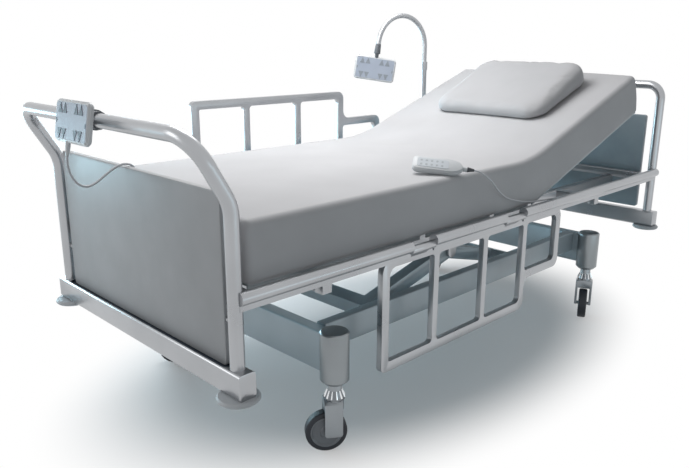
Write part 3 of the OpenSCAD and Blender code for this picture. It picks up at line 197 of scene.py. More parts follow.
# %% Finish of the coated steel
def powder_coat(name, dark, light, metallic, roughness):
    made, tree = new_material(name)
    mottle = grain(tree, 140, 2.0)
    shader = add(
        tree, "ShaderNodeBsdfPrincipled", {"Metallic": metallic, "IOR": 1.5},
        {
            "Base Color": shades(tree, mottle, dark, light),
            "Roughness": spread(tree, mottle, roughness - 0.04, roughness + 0.06),
            "Normal": relief(tree, grain(tree, 2.2), 0.05, 0.5),
        },
    )
    close_material(tree, shader)
    return made


silver_coat = powder_coat("silver powder coat", "#a9abae", "#b1b3b6", 0.82, 0.28)
base_coat = powder_coat("blue grey powder coat", "#a6b1b7", "#afbac0", 0.2, 0.36)
leg_coat = powder_coat("satin leg coat", "#8d9295", "#969b9e", 0.7, 0.3)
sheet_coat = powder_coat("pale sheet coat", "#a9b0b4", "#b3babd", 0.3, 0.42)
fork_coat = powder_coat("caster zinc coat", "#8f9498", "#999ea2", 0.75, 0.32)
print(len(bpy.data.materials), "materials with the coats")

# %% [markdown]
# The end panels are boards pressed with a grey laminate, matt at the foot end and
# a little glossier at the head end. Its pearl grain is so fine that only the
# softness of its highlight shows it. The plastics are moulded: their tool was
# spark eroded, which leaves a pebble of a millimetre. The printed films and the
# rubber follow the same recipe, the rubber with less shine.

# %% Finish of the laminate, plastics and rubber
def moulded(name, dark, light, roughness, grain_mm, depth_mm, coat=0.0):
    made, tree = new_material(name)
    fine, broad = grain(tree, grain_mm), grain(tree, 90, 2.0)
    shader = add(
        tree, "ShaderNodeBsdfPrincipled", {"IOR": 1.5, "Coat Weight": coat},
        {
            "Base Color": shades(tree, broad, dark, light),
            "Roughness": spread(tree, fine, roughness - 0.05, roughness + 0.05),
            "Normal": relief(tree, fine, depth_mm, 0.6),
        },
    )
    close_material(tree, shader)
    return made


foot_laminate = moulded("pressed grey laminate", "#9d9ea0", "#a4a5a7", 0.5, 1.4, 0.03)
head_laminate = moulded("pressed blue grey laminate", "#8f9ca4", "#98a5ac", 0.25, 1.4, 0.02)
abs_white = moulded("textured white ABS", "#d2d5d7", "#dadcde", 0.4, 0.9, 0.03)
handset_white = moulded("textured off white ABS", "#bfc2c5", "#c8cbcd", 0.4, 0.9, 0.03)
membrane_film = moulded("printed polyester film", "#a7b0bf", "#afb8c6", 0.34, 1.6, 0.02, 0.2)
handset_film = moulded("pale polyester film", "#bcc2c8", "#c3c9ce", 0.34, 1.6, 0.02, 0.2)
key_ink = moulded("embossed key ink", "#4f5762", "#565f6b", 0.4, 1.6, 0.02)
soft_ink = moulded("pale key ink", "#8d949c", "#959ca3", 0.4, 1.6, 0.02)
faint_ink = moulded("faint key ink", "#a3a9af", "#abb1b6", 0.4, 1.6, 0.02)
dark_nylon = moulded("dark moulded nylon", "#2e3237", "#363a40", 0.5, 1.0, 0.04)
clamp_nylon = moulded("slate moulded nylon", "#585c61", "#61656a", 0.48, 1.0, 0.04)
grey_nylon = moulded("grey moulded nylon", "#83878b", "#8b8f93", 0.46, 1.0, 0.04)
wheel_nylon = moulded("wheel centre nylon", "#73777c", "#7b7f84", 0.36, 1.0, 0.03, 0.1)
bumper_rubber = moulded("grey bumper rubber", "#b4b7bb", "#bdc0c3", 0.5, 1.2, 0.05)
tyre_rubber = moulded("navy tyre rubber", "#10161f", "#171e29", 0.5, 1.2, 0.06)
slot_rubber = moulded("navy slot lining", "#1c2733", "#25313e", 0.5, 1.2, 0.05)
cord_pvc = moulded("pale PVC cord", "#c2c4c8", "#cccdd1", 0.42, 1.5, 0.03)
print(len(bpy.data.materials), "materials with the plastics")

# %% [markdown]
# The flared collar over each swivel is chromed: its flutes are bright, and the
# cone between them is a softer chrome whose colour is darkened as painted shade,
# for the bed's shadow over it. The screws are zinc plated. The default metal
# index is kept, and a little roughness stands for rolling marks.

# %% Finish of the chrome and zinc
def plated(name, tint, roughness):
    made, tree = new_material(name)
    marks = spread(tree, grain(tree, 5.0), roughness - 0.03, roughness + 0.05)
    shader = add(
        tree, "ShaderNodeBsdfPrincipled", {"Base Color": linear(tint), "Metallic": 1.0},
        {"Roughness": marks},
    )
    close_material(tree, shader)
    return made


chrome = plated("chrome plate", "#dfe2e4", 0.1)
# The collar cone's chrome is a darker copy of the chrome: painted shade for the bed's shadow over it.
chrome_painted_shade = plated("chrome with painted shade", "#75797d", 0.22)
zinc = plated("zinc plate", "#b4b8bb", 0.3)
print(len(bpy.data.materials), "materials with the plating")

# %% [markdown]
# A ward mattress wears a stretch knit with a wipe clean coating. From a step
# away it is an even pale grey with a soft sheen; close by, the knit shows as a
# fine pebble about two millimetres across, which is drawn coarse enough to see.

# %% Finish of the covers
def coated_knit(name, dark, light, stitch_mm, depth_mm, sheen):
    made, tree = new_material(name)
    shader = add(
        tree, "ShaderNodeBsdfPrincipled",
        {"IOR": 1.45, "Sheen Weight": sheen, "Sheen Roughness": 0.5, "Roughness": 0.72},
        {
            "Base Color": shades(tree, grain(tree, 220), dark, light),
            "Normal": relief(tree, grain(tree, stitch_mm, 2.0), depth_mm, 0.5),
        },
    )
    close_material(tree, shader)
    return made


mattress_cover = coated_knit("coated stretch knit", "#b6b6b8", "#bdbdbf", 2.4, 0.12, 0.06)
pillow_cover = coated_knit("soft pillow knit", "#a9a9ab", "#b0b0b2", 3.0, 0.2, 0.1)
print(len(bpy.data.materials), "materials with the covers")

# %% [markdown]
# Both cables are soft PVC leads. Each follows the route that the solid model
# holds: the near one leaves the handset, drops beside the mattress and runs
# along the side rail; the other hangs in a short loop under the foot keypad and
# goes over the foot panel. A curve through the points gives the smooth line.

# %% Lay the cords
handset_route = [
    (-222, -428.4, 699.2), (-216, -434.5, 697.5), (-208, -438.5, 694), (-198, -440, 689),
    (-186, -440, 683), (-170, -438.5, 674.5), (-150, -436, 663.5), (-126, -433, 647.3),
    (-101, -429, 629.5), (-74, -425, 611.5), (-44, -420, 595.5), (-13, -416, 582.8),
    (23, -413, 571.6), (72, -412, 559.6), (121, -412, 551.5), (172, -412, 545.4),
    (220, -412, 541.5), (285, -412, 537.5), (370, -412, 532), (460, -412, 527), (540, -412, 525),
]
control_route = [
    (-1210.6, 0, 801.7), (-1212.4, 0, 790), (-1212, 0, 777), (-1209, 1, 763), (-1203, 2, 749),
    (-1194, 3, 736), (-1182, 4, 727), (-1168, 5, 723), (-1152, 7, 725.5), (-1136, 9, 733),
    (-1120, 11, 742), (-1104, 13, 751), (-1086, 15, 759), (-1069, 17, 763), (-1053, 18.5, 761),
    (-1041.5, 19.5, 755), (-1033, 20, 742), (-1027.5, 20, 720), (-1024, 20, 690), (-1022, 20, 640),
    (-1020, 20, 590), (-1020, 20, 548),
]


def through(points, steps=6):
    """A smooth line through the points, by a Catmull-Rom spline."""
    line = []
    last = len(points) - 1
    for i in range(last):
        a, b = points[max(i - 1, 0)], points[i]
        c, d = points[i + 1], points[min(i + 2, last)]
        for k in range(steps):
            t = k / steps
            line.append(
                0.5 * (2 * b + (c - a) * t + (2 * a - 5 * b + 4 * c - d) * t**2
                       + (3 * b - a - 3 * c + d) * t**3)
            )
    return line + [points[last]]


def lay_cord(name, route, diameter, body, node):
    line = through([bed(*p) for p in route])
    data = bpy.data.curves.new(name, "CURVE")
    data.dimensions, data.bevel_depth, data.bevel_resolution = "3D", diameter / 2, 4
    data.use_fill_caps = True
    spline = data.splines.new("POLY")
    spline.points.add(len(line) - 1)
    for point, at in zip(spline.points, line):
        point.co = (*at, 1)
    made = bpy.data.objects.new(name, data)
    bpy.context.scene.collection.objects.link(made)
    data.materials.append(cord_pvc)
    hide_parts(node)
    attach(made, body)


lay_cord("handset_lead", handset_route, 5 * MM, "platform", "handset_cord")
lay_cord("foot_keypad_lead", control_route, 6 * MM, "platform", "foot_control_cord")

# %% [markdown]
# Most of the steel is already right in shape, but real edges are never razor
# sharp: a folded or welded edge catches a thin line of light. So each member of
# the list gets a copy whose triangles are merged and whose edges are rounded, and
# that copy stands for the member. Where a member has two finishes, a rule on
# each face's middle picks the finish.

# %% Mesh helpers and rounded edges
def link_mesh(name, mesh, *finishes):
    made = bpy.data.objects.new(name, mesh)
    bpy.context.scene.collection.objects.link(made)
    mesh.materials.clear()
    for finish in finishes:
        mesh.materials.append(finish)
    return made


def smooth(mesh, degrees=35):
    mesh.polygons.foreach_set("use_smooth", [True] * len(mesh.polygons))
    mesh.set_sharp_from_angle(angle=math.radians(degrees))


def settled(made):
    """Turns the object's modifiers into plain mesh."""
    graph = bpy.context.evaluated_depsgraph_get()
    finished = bpy.data.meshes.new_from_object(made.evaluated_get(graph))
    made.modifiers.clear()
    made.data = finished


def rounded_copy(node, width_mm, finish, second=None, picks_second=None):
    shape = bmesh.new()
    shape.from_mesh(frame["nodes"][node].data)
    bmesh.ops.remove_doubles(shape, verts=shape.verts, dist=2e-5)
    bmesh.ops.dissolve_limit(shape, angle_limit=math.radians(1.0), verts=shape.verts, edges=shape.edges)
    mesh = bpy.data.meshes.new(node + "_finish")
    shape.to_mesh(mesh)
    shape.free()
    made = link_mesh(node + "_finish", mesh, *[f for f in (finish, second) if f])
    soft = made.modifiers.new("edges", "BEVEL")
    soft.width, soft.segments, soft.limit_method = width_mm * MM, 2, "ANGLE"
    soft.angle_limit, soft.use_clamp_overlap = math.radians(40), True
    settled(made)
    if picks_second:
        for face in made.data.polygons:
            face.material_index = int(picks_second((face.center - bed_middle) / MM))
    smooth(made.data, 40)
    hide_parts(node)
    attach(made, frame["nodes"][node]["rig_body"])


painted = {
    "guard_near": (5.0, silver_coat), "guard_far": (5.0, silver_coat),
    "crossbeam_foot": (1.2, silver_coat), "crossbeam_head": (1.2, silver_coat),
    "foot_panel": (2.0, foot_laminate), "head_panel": (2.0, head_laminate),
    "base_side_near": (1.0, base_coat), "base_side_far": (1.0, base_coat),
    "lift_frame_foot": (4.0, base_coat), "lift_frame_head": (4.0, base_coat),
    "lift_channels": (0.8, base_coat), "platform_frame": (0.8, silver_coat),
    "platform_ends": (0.8, silver_coat), "hinge_lugs": (0.8, silver_coat),
    "rail_blocks": (1.0, silver_coat), "gooseneck_clamp": (2.0, grey_nylon),
    "foot_control_clamp": (1.2, clamp_nylon), "panel_clips": (1.0, silver_coat),
    "foot_control": (1.5, abs_white),
}
for node, (width, finish) in painted.items():
    rounded_copy(node, width, finish)
print(len(painted), "members have rounded edges")

# %% [markdown]
# Four kinds of member have two finishes. A base end is one weldment, but its
# round legs are turned and satin. A fork wears chrome where its collar flares,
# and that chrome is darkened there as painted shade.
# The handset is white up to the dark boot that guards its lead, and the keypad
# on the gooseneck is white up to the sleeve that the hose goes into.

# %% Members with two finishes
LEG_R = 39.6
CASTERS = {
    "foot_near": (-724, -375), "foot_far": (-724, 375),
    "head_near": (643, -375), "head_far": (643, 375),
}
COLLAR_LOW, CONE_LOW, CONE_TOP = 150.0, 156.0, 176.0
COLLAR_R, NECK_R, COLLAR_EDGE = 27.0, 19.0, 0.5
HANDSET_AT = Vector((-286.0, -346.5, 709.261))
HANDSET_AXES = (
    Vector((0.612827, -0.784383, -0.095846)),
    Vector((0.711942, 0.495415, 0.497698)),
    Vector((-0.342902, -0.373239, 0.862038)),
)
BOOT_START = 83.5
FAR_PAD_AT = Vector((336.94, 491.134, 938.946))
FAR_PAD_AXES = (
    Vector((0.693624, -0.705837, -0.143805)),
    Vector((0.170458, -0.0331336, 0.984808)),
    Vector((-0.699878, -0.707599, 0.0973331)),
)
SLEEVE_START = 49.5


def on_leg(at):
    return any((Vector((at.x, at.y)) - Vector(leg)).length < LEG_R for leg in CASTERS.values())


for end in ("foot", "head"):
    rounded_copy("base_end_" + end, 1.0, base_coat, leg_coat, on_leg)


# The collar's faces get the chrome that is darkened as painted shade.
def on_collar(at):
    return COLLAR_LOW + COLLAR_EDGE < at.z < CONE_TOP + COLLAR_EDGE


for place in CASTERS:
    rounded_copy("fork_" + place, 1.2, fork_coat, chrome_painted_shade, on_collar)


def on_boot(at):
    return (at - HANDSET_AT).dot(HANDSET_AXES[0]) > BOOT_START


rounded_copy("handset", 1.6, handset_white, dark_nylon, on_boot)


def on_sleeve(at):
    return (at - FAR_PAD_AT).dot(FAR_PAD_AXES[1]) > SLEEVE_START


rounded_copy("gooseneck_panel", 1.5, abs_white, clamp_nylon, on_sleeve)
print("two finishes on the base ends, forks, handset and gooseneck keypad")

# %% [markdown]
# The other members are bars, sheets, films, wheels and rubber whose mesh is good
# as it is, so each of them only gets its finish.

# %% Finishes of the members that stay as they are
kept = {
    "foot_tube": silver_coat, "head_tube": silver_coat, "side_rail_near": silver_coat,
    "side_rail_far": silver_coat, "slot_lining": slot_rubber, "corner_bumpers": bumper_rubber,
    "gooseneck_post": silver_coat, "lift_rollers": dark_nylon,
    "back_section": sheet_coat, "seat_section": sheet_coat, "thigh_section": sheet_coat,
    "calf_section": sheet_coat, "foot_membrane": membrane_film, "gooseneck_membrane": membrane_film,
    "handset_membrane": handset_film,
}
for place in CASTERS:
    kept["tyre_" + place] = tyre_rubber
    kept["hub_" + place] = wheel_nylon
for node, finish in kept.items():
    frame["nodes"][node].data.materials.clear()
    frame["nodes"][node].data.materials.append(finish)
print(len(kept), "members keep their mesh")

# %% [markdown]
# Small things that repeat are grown by Geometry Nodes: a tree is a recipe with
# named sizes, and one start mesh says where its copies go. `grow` gives the
# sizes to the tree, turns the result into a plain mesh and lets it ride on the
# body that it belongs to.

# %% Geometry Nodes helpers
def geometry_tree(name, sizes):
    tree = bpy.data.node_groups.new(name, "GeometryNodeTree")
    tree.interface.new_socket("Geometry", in_out="INPUT", socket_type="NodeSocketGeometry")
    for label, value in sizes.items():
        kind = "NodeSocketInt" if isinstance(value, int) else "NodeSocketFloat"
        tree.interface.new_socket(label, in_out="INPUT", socket_type=kind)
    tree.interface.new_socket("Geometry", in_out="OUTPUT", socket_type="NodeSocketGeometry")
    return tree, add(tree, "NodeGroupInput").outputs


def close_tree(tree, geometry, finish):
    real = add(tree, "GeometryNodeRealizeInstances", links={"Geometry": geometry})
    dressed = add(tree, "GeometryNodeSetMaterial", {"Material": finish}, {"Geometry": real.outputs[0]})
    add(tree, "NodeGroupOutput", links={"Geometry": dressed.outputs[0]})
    return tree


def vector_of(tree, x=None, y=None, z=None):
    links = {axis: value for axis, value in zip("XYZ", (x, y, z)) if value is not None}
    return add(tree, "ShaderNodeCombineXYZ", links=links).outputs[0]


def sums(tree, operation, first, second):
    """One step of arithmetic on sockets or numbers."""
    made = add(tree, "ShaderNodeMath", {"operation": operation})
    for place, value in enumerate((first, second)):
        if isinstance(value, (int, float)):
            made.inputs[place].default_value = value
        else:
            tree.links.new(value, made.inputs[place])
    return made.outputs[0]


def grow(name, start, tree, sizes, finish, body, sharp=35):
    made = link_mesh(name, start, finish)
    growth = made.modifiers.new("growth", "NODES")
    growth.node_group = tree
    for socket in tree.interface.items_tree:
        if socket.in_out == "INPUT" and socket.name in sizes:
            growth[socket.identifier] = sizes[socket.name]
    settled(made)
    smooth(made.data, sharp)
    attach(made, body)
    print(name, "has", len(made.data.polygons), "faces")
    return made


def point_mesh(name, places, aims=None):
    mesh = bpy.data.meshes.new(name)
    mesh.from_pydata([tuple(p) for p in places], [], [])
    if aims:
        store = mesh.attributes.new("aim", "FLOAT_VECTOR", "POINT")
        store.data.foreach_set("vector", [v for aim in aims for v in aim])
    return mesh


print("growth helpers ready")

# %% [markdown]
# The flexible arm of the far keypad is a steel gooseneck: a spring wound with a
# three sided wire, which shows as fine ribs round the hose. The tree resamples a
# line along the arm and sweeps a circle whose size waves once for every rib.

# %% Ribs of the gooseneck
GOOSE_AT, GOOSE_LOW, GOOSE_ARC_Z = (600.0, 440.0), 964.0, 1030.0
GOOSE_R, GOOSE_SWEEP, GOOSE_TAIL, GOOSE_TURN = 125.0, 170.0, 12.0, 169.0
GOOSE_STEPS_UP, GOOSE_STEPS_ROUND, STEPS_PER_RIB = 8, 60, 6.0
hose_sizes = {"Radius": 10.2 * MM, "Rib Pitch": 4.0 * MM, "Rib Depth": 0.7 * MM, "Sides": 24}


def hose_tree(finish):
    tree, given = geometry_tree("ribbed hose", hose_sizes)
    line = add(tree, "GeometryNodeMeshToCurve", links={"Mesh": given["Geometry"]})
    step = sums(tree, "DIVIDE", given["Rib Pitch"], STEPS_PER_RIB)
    even = add(tree, "GeometryNodeResampleCurve", {"mode": "LENGTH"},
               {"Curve": line.outputs[0], "Length": step})
    along = add(tree, "GeometryNodeSplineParameter").outputs["Length"]
    turns = sums(tree, "MULTIPLY", sums(tree, "DIVIDE", along, given["Rib Pitch"]), 2 * math.pi)
    wave = sums(tree, "MULTIPLY", sums(tree, "SUBTRACT", sums(tree, "COSINE", turns, 0.0), 1.0), 0.5)
    depth = sums(tree, "DIVIDE", given["Rib Depth"], given["Radius"])
    scale = sums(tree, "ADD", sums(tree, "MULTIPLY", wave, depth), 1.0)
    ring = add(tree, "GeometryNodeCurvePrimitiveCircle",
               links={"Resolution": given["Sides"], "Radius": given["Radius"]})
    swept = add(tree, "GeometryNodeCurveToMesh", {"Fill Caps": True},
                {"Curve": even.outputs[0], "Profile Curve": ring.outputs[0], "Scale": scale})
    return close_tree(tree, swept.outputs[0], finish)


def goose_line():
    turn = math.radians(GOOSE_TURN)
    out = Vector((math.cos(turn), math.sin(turn), 0))
    up = Vector((0, 0, 1))
    base = Vector((*GOOSE_AT, 0))
    rise = GOOSE_ARC_Z - GOOSE_LOW
    places = [base + up * (GOOSE_LOW + rise * k / GOOSE_STEPS_UP) for k in range(GOOSE_STEPS_UP)]
    for k in range(GOOSE_STEPS_ROUND + 1):
        a = math.radians(GOOSE_SWEEP * k / GOOSE_STEPS_ROUND)
        level = GOOSE_ARC_Z + GOOSE_R * math.sin(a)
        places.append(base + up * level + out * GOOSE_R * (1 - math.cos(a)))
    last = math.radians(GOOSE_SWEEP)
    places.append(places[-1] + (out * math.sin(last) + up * math.cos(last)) * GOOSE_TAIL)
    mesh = bpy.data.meshes.new("gooseneck line")
    mesh.from_pydata([bed(*p) for p in places], [(i, i + 1) for i in range(len(places) - 1)], [])
    return mesh


hose = grow("gooseneck_ribs", goose_line(), hose_tree(silver_coat), hose_sizes, silver_coat,
            "gooseneck", 60)
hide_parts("gooseneck_hose")

# %% [markdown]
# The chromed collar over a swivel is fluted. One flute is a slim tapered bar that
# lies on the cone, and the tree sets the same bar round the collar at even angles.

# %% Flutes of the collars
flute_sizes = {"Flutes": 12, "Low Radius": COLLAR_R * MM, "Top Radius": NECK_R * MM,
               "Height": (CONE_TOP - CONE_LOW) * MM, "Bar Radius": 2.6 * MM}
FLUTE_TAPER = 0.45


def flute_tree(finish):
    tree, given = geometry_tree("collar flutes", flute_sizes)
    low = vector_of(tree, x=given["Low Radius"])
    top = vector_of(tree, x=given["Top Radius"], z=given["Height"])
    bar = add(tree, "GeometryNodeCurvePrimitiveLine", links={"Start": low, "End": top})
    ends = add(tree, "GeometryNodeSplineParameter").outputs["Factor"]
    taper = sums(tree, "SUBTRACT", 1.0, sums(tree, "MULTIPLY", ends, FLUTE_TAPER))
    ring = add(tree, "GeometryNodeCurvePrimitiveCircle", {"Resolution": 8},
               {"Radius": given["Bar Radius"]})
    flute = add(tree, "GeometryNodeCurveToMesh", {"Fill Caps": True},
                {"Curve": bar.outputs[0], "Profile Curve": ring.outputs[0], "Scale": taper})
    spots = add(tree, "GeometryNodeMeshLine", {"Offset": (0, 0, 0)}, {"Count": given["Flutes"]})
    order = add(tree, "GeometryNodeInputIndex").outputs[0]
    angle = sums(tree, "MULTIPLY", sums(tree, "DIVIDE", order, given["Flutes"]), 2 * math.pi)
    placed = add(tree, "GeometryNodeInstanceOnPoints", links={
        "Points": spots.outputs[0], "Instance": flute.outputs[0], "Rotation": vector_of(tree, z=angle)})
    seats = add(tree, "GeometryNodeInstanceOnPoints", links={
        "Points": given["Geometry"], "Instance": placed.outputs[0]})
    return close_tree(tree, seats.outputs[0], finish)


flutes = flute_tree(chrome)
for place, (x, y) in CASTERS.items():
    grow("collar_flutes_" + place, point_mesh("collar", [bed(x, y, CONE_LOW)]), flutes, flute_sizes,
         chrome, "fork_" + place + "_swivel", 40)

# %% [markdown]
# Screws hold what a spanner must reach: the rail blocks, the corner bumpers and
# the undercarriage's end tubes from below, the foot keypad's back and the
# gooseneck's clamp. Each is a zinc button head with a hexagon socket. A ray finds
# the surface under each head, so every screw sits on its seat and faces away from
# it, and the screws of one body grow as one piece.

# %% Screws
screw_sizes = {"Head Radius": 4.5 * MM, "Head Height": 2.6 * MM, "Socket Radius": 2.0 * MM}
RIM_SHARE, SOCKET_SHARE, LIFT_SHARE = 0.66, 0.9, 0.3


def screw_tree(finish):
    tree, given = geometry_tree("button screws", screw_sizes)
    rim = sums(tree, "MULTIPLY", given["Head Radius"], RIM_SHARE)
    head = add(tree, "GeometryNodeMeshCone", {"Vertices": 16}, {
        "Radius Top": rim, "Radius Bottom": given["Head Radius"], "Depth": given["Head Height"]})
    socket = add(tree, "GeometryNodeMeshCylinder", {"Vertices": 6}, {
        "Radius": given["Socket Radius"], "Depth": given["Head Height"]})
    lifted = add(tree, "GeometryNodeTransform", links={
        "Geometry": socket.outputs[0],
        "Translation": vector_of(tree, z=sums(tree, "MULTIPLY", given["Head Height"], SOCKET_SHARE))})
    screw = add(tree, "GeometryNodeMeshBoolean", {"operation": "DIFFERENCE"},
                {"Mesh 1": head.outputs[0], "Mesh 2": lifted.outputs[0]})
    aim = add(tree, "GeometryNodeInputNamedAttribute", {"data_type": "FLOAT_VECTOR", "Name": "aim"})
    facing = add(tree, "FunctionNodeAlignRotationToVector", {"axis": "Z"}, {"Vector": aim.outputs[0]})
    placed = add(tree, "GeometryNodeInstanceOnPoints", links={
        "Points": given["Geometry"], "Instance": screw.outputs[0], "Rotation": facing.outputs[0]})
    return close_tree(tree, placed.outputs[0], finish)


def seat(node, start, towards):
    """Where a ray from a bed place meets a member, and which way its face looks."""
    mesh = frame["nodes"][node].data
    faces = BVHTree.FromPolygons([v.co for v in mesh.vertices], [tuple(f.vertices) for f in mesh.polygons])
    where, normal, _, _ = faces.ray_cast(bed(*start), Vector(towards).normalized())
    return (where, normal) if where else None


TO_NEAR, UPWARD, TO_FOOT = (0, -1, 0), (0, 0, 1), (-1, 0, 0)
screw_spots = {
    "platform": [
        ("rail_blocks", (x + dx, y, 400), UPWARD) for x in (-800, 560) for y in (-418, 418)
        for dx in (-6, 6)
    ] + [
        ("foot_control", (-1100, y - 22, z), TO_FOOT) for y in (-70, 70) for z in (845, 915)
    ] + [
        ("gooseneck_clamp", (600, 520, 540), TO_NEAR)
    ] + [
        ("corner_bumpers", (x, y, 250), UPWARD) for x in (-1045, 1085) for y in (-426, 426)
    ],
    "base": [
        (node, (x, y, 100), UPWARD) for node, x in (("base_end_foot", -724), ("base_end_head", 643))
        for y in (-200, 200)
    ],
}
screws = screw_tree(zinc)
for body, wanted in screw_spots.items():
    found = [s for s in (seat(*spot) for spot in wanted) if s]
    print(body, "screws", len(found), "of", len(wanted))
    lift = screw_sizes["Head Height"] * LIFT_SHARE
    grow("screws_" + body, point_mesh("seats", [at + n * lift for at, n in found], [n for _, n in found]),
         screws, screw_sizes, zinc, body, 30)

# %% [markdown]
# The keypads carry plain triangles, four pointing up and four down, and small
# lamps at both sides. They are pressed film, so they stand a little proud. The
# handset has two rows of small keys. One tree sets a shape of any number of
# corners at every point of a pad, with a width and a height of its own.

# %% Keys and arrows
key_sizes = {"Corners": 3, "Width": 24.0 * MM, "Length": 31.0 * MM, "Thickness": 3.0 * MM}


def key_tree(finish):
    tree, given = geometry_tree("pressed keys", key_sizes)
    key = add(tree, "GeometryNodeMeshCylinder", {"Radius": 0.5},
              {"Vertices": given["Corners"], "Depth": given["Thickness"]})
    turned = add(tree, "GeometryNodeTransform", {"Rotation": (0, 0, math.radians(90))},
                 {"Geometry": key.outputs[0]})
    sized = add(tree, "GeometryNodeTransform", {"Scale": (1, 1, 1)}, {"Geometry": turned.outputs[0]})
    size = add(tree, "ShaderNodeCombineXYZ", {"Z": 1.0}, {"X": given["Width"], "Y": given["Length"]})
    tree.links.new(size.outputs[0], sized.inputs["Scale"])
    aim = add(tree, "GeometryNodeInputNamedAttribute", {"data_type": "FLOAT_VECTOR", "Name": "aim"})
    placed = add(tree, "GeometryNodeInstanceOnPoints", links={
        "Points": given["Geometry"], "Instance": sized.outputs[0], "Rotation": aim.outputs[0]})
    return close_tree(tree, placed.outputs[0], finish)


def grow_keys(name, at, axes, places, turns, sizes, finish, tree, body):
    """Keys on a pad whose middle and axes are given, each turned in the pad's face."""
    keys = grow(name, point_mesh("pad", [Vector(p) * MM for p in places], [(0, 0, t) for t in turns]),
                tree, sizes, finish, body, 30)
    pad = Matrix.Identity(4)
    for column, axis in enumerate(axes):
        for row in range(3):
            pad[row][column] = axis[row]
    pad.translation = bed(*at)
    keys.data.transform(pad)


KEYPAD_W, KEYPAD_H, KEY_Z = 170.0, 97.0, 7.1
ARROW_X, ARROW_Y = (-0.33, -0.19, 0.15, 0.29), 0.26
LAMP_PLACES = ((-0.44, 0.0), (0.43, -4.0))
lamp_sizes = {"Corners": 12, "Width": 5.0 * MM, "Length": 12.0 * MM, "Thickness": 2.0 * MM}
HANDSET_KEY_X, HANDSET_KEY_STEP, HANDSET_KEY_Y, HANDSET_KEY_Z = -48, 15, 8.5, 9.4
handset_key_sizes = {"Corners": 10, "Width": 7.0 * MM, "Length": 7.0 * MM, "Thickness": 1.8 * MM}
pads = {
    "foot_arrows": ((-1197, -22, 879), ((0, -1, 0), (0.173648, 0, 0.984808), (-0.984808, 0, 0.173648)),
                    "platform", key_ink),
    "gooseneck_arrows": (FAR_PAD_AT, FAR_PAD_AXES, "gooseneck_keypad", soft_ink),
}
for name, (at, axes, body, ink) in pads.items():
    arrows = key_tree(ink)
    places = [(x * KEYPAD_W, side * ARROW_Y * KEYPAD_H, KEY_Z) for x in ARROW_X for side in (1, -1)]
    turns = [0 if side > 0 else math.pi for x in ARROW_X for side in (1, -1)]
    grow_keys(name, at, axes, places, turns, key_sizes, ink, arrows, body)
    lamps = [(x * KEYPAD_W, y, KEY_Z) for x, y in LAMP_PLACES]
    grow_keys(name.replace("arrows", "lamps"), at, axes, lamps, [0] * len(lamps), lamp_sizes, ink,
              arrows, body)

handset_keys = [
    (HANDSET_KEY_X + HANDSET_KEY_STEP * k, y, HANDSET_KEY_Z)
    for k in range(5) for y in (-HANDSET_KEY_Y, HANDSET_KEY_Y)
]
grow_keys("handset_keys", HANDSET_AT, HANDSET_AXES, handset_keys, [0] * len(handset_keys),
          handset_key_sizes, faint_ink, key_tree(faint_ink), "thigh")

# %% [markdown]
# The mattress is one long foam core in a fitted cover. Its outline across the
# bed has full sides, round upper edges and a low crown, and that outline is
# carried along the bed: level over the legs, round a soft hollow at the hinge,
# and up along the back. It is cut into three lengths where the platform bends.
# Such a firm block shows no folds, so its shape is written down instead of being
# simulated.

# %% Shape of the mattress
HINGE_Z, PAD_LOW, PAD_TOP = 520.0, 535.5, 685.5
BACK_HINGE, BACK_ANGLE, BACK_LEN = 170.0, 19.2, 775.0
PAD_FOOT, PAD_W, EDGE_R, LOW_R, CROWN = -1010.0, 810.0, 20.0, 12.0, 7.0
FOLD_ANGLE, END_R, SIDE_BULGE, END_SHARE = 35.6, 16.0, 3.0, 0.8
KNEE_X, LEGS_END, SEAT_X, BACK_EASE = -330, -50, -19, 1.4


def pad_outline(inset):
    """Points round the mattress, across and up, from its underside's near edge."""
    half, top = PAD_W / 2 - inset, PAD_TOP - PAD_LOW - inset
    side = half - SIDE_BULGE

    def corner(cx, cz, r, start, steps):
        return [
            (cx + r * math.cos(math.radians(start + 90 * k / steps)),
             cz + r * math.sin(math.radians(start + 90 * k / steps)))
            for k in range(steps + 1)
        ]

    right = corner(side - LOW_R, inset + LOW_R, LOW_R, -90, 6)
    face = top - EDGE_R - inset - LOW_R
    for t in (0.15, 0.35, 0.5, 0.65, 0.85):
        right.append((side + SIDE_BULGE * math.sin(math.pi * t), inset + LOW_R + t * face))
    right += corner(side - EDGE_R, top - EDGE_R, EDGE_R, 0, 10)
    flat = side - EDGE_R
    across = [(flat * (1 - 2 * k / 28), 0) for k in range(1, 28)]
    crowned = [(y, top + CROWN * (1 - (y / flat) ** 2)) for y, _ in across]
    left = [(-y, z) for y, z in reversed(right)]
    under = [(-side + LOW_R + (2 * side - 2 * LOW_R) * k / 10, inset) for k in range(1, 10)]
    return right + crowned + left + under


def from_back(x, z):
    """A place of the flat bed, turned up with the back rest."""
    turn = math.radians(BACK_ANGLE)
    dx, dz = x - BACK_HINGE, z - HINGE_Z
    return Vector((BACK_HINGE + dx * math.cos(turn) - dz * math.sin(turn),
                   HINGE_Z + dx * math.sin(turn) + dz * math.cos(turn)))


def lean(height, angle):
    """How far a fold that leans by an angle has moved along at a height."""
    return (height - HINGE_Z) * math.tan(math.radians(angle))


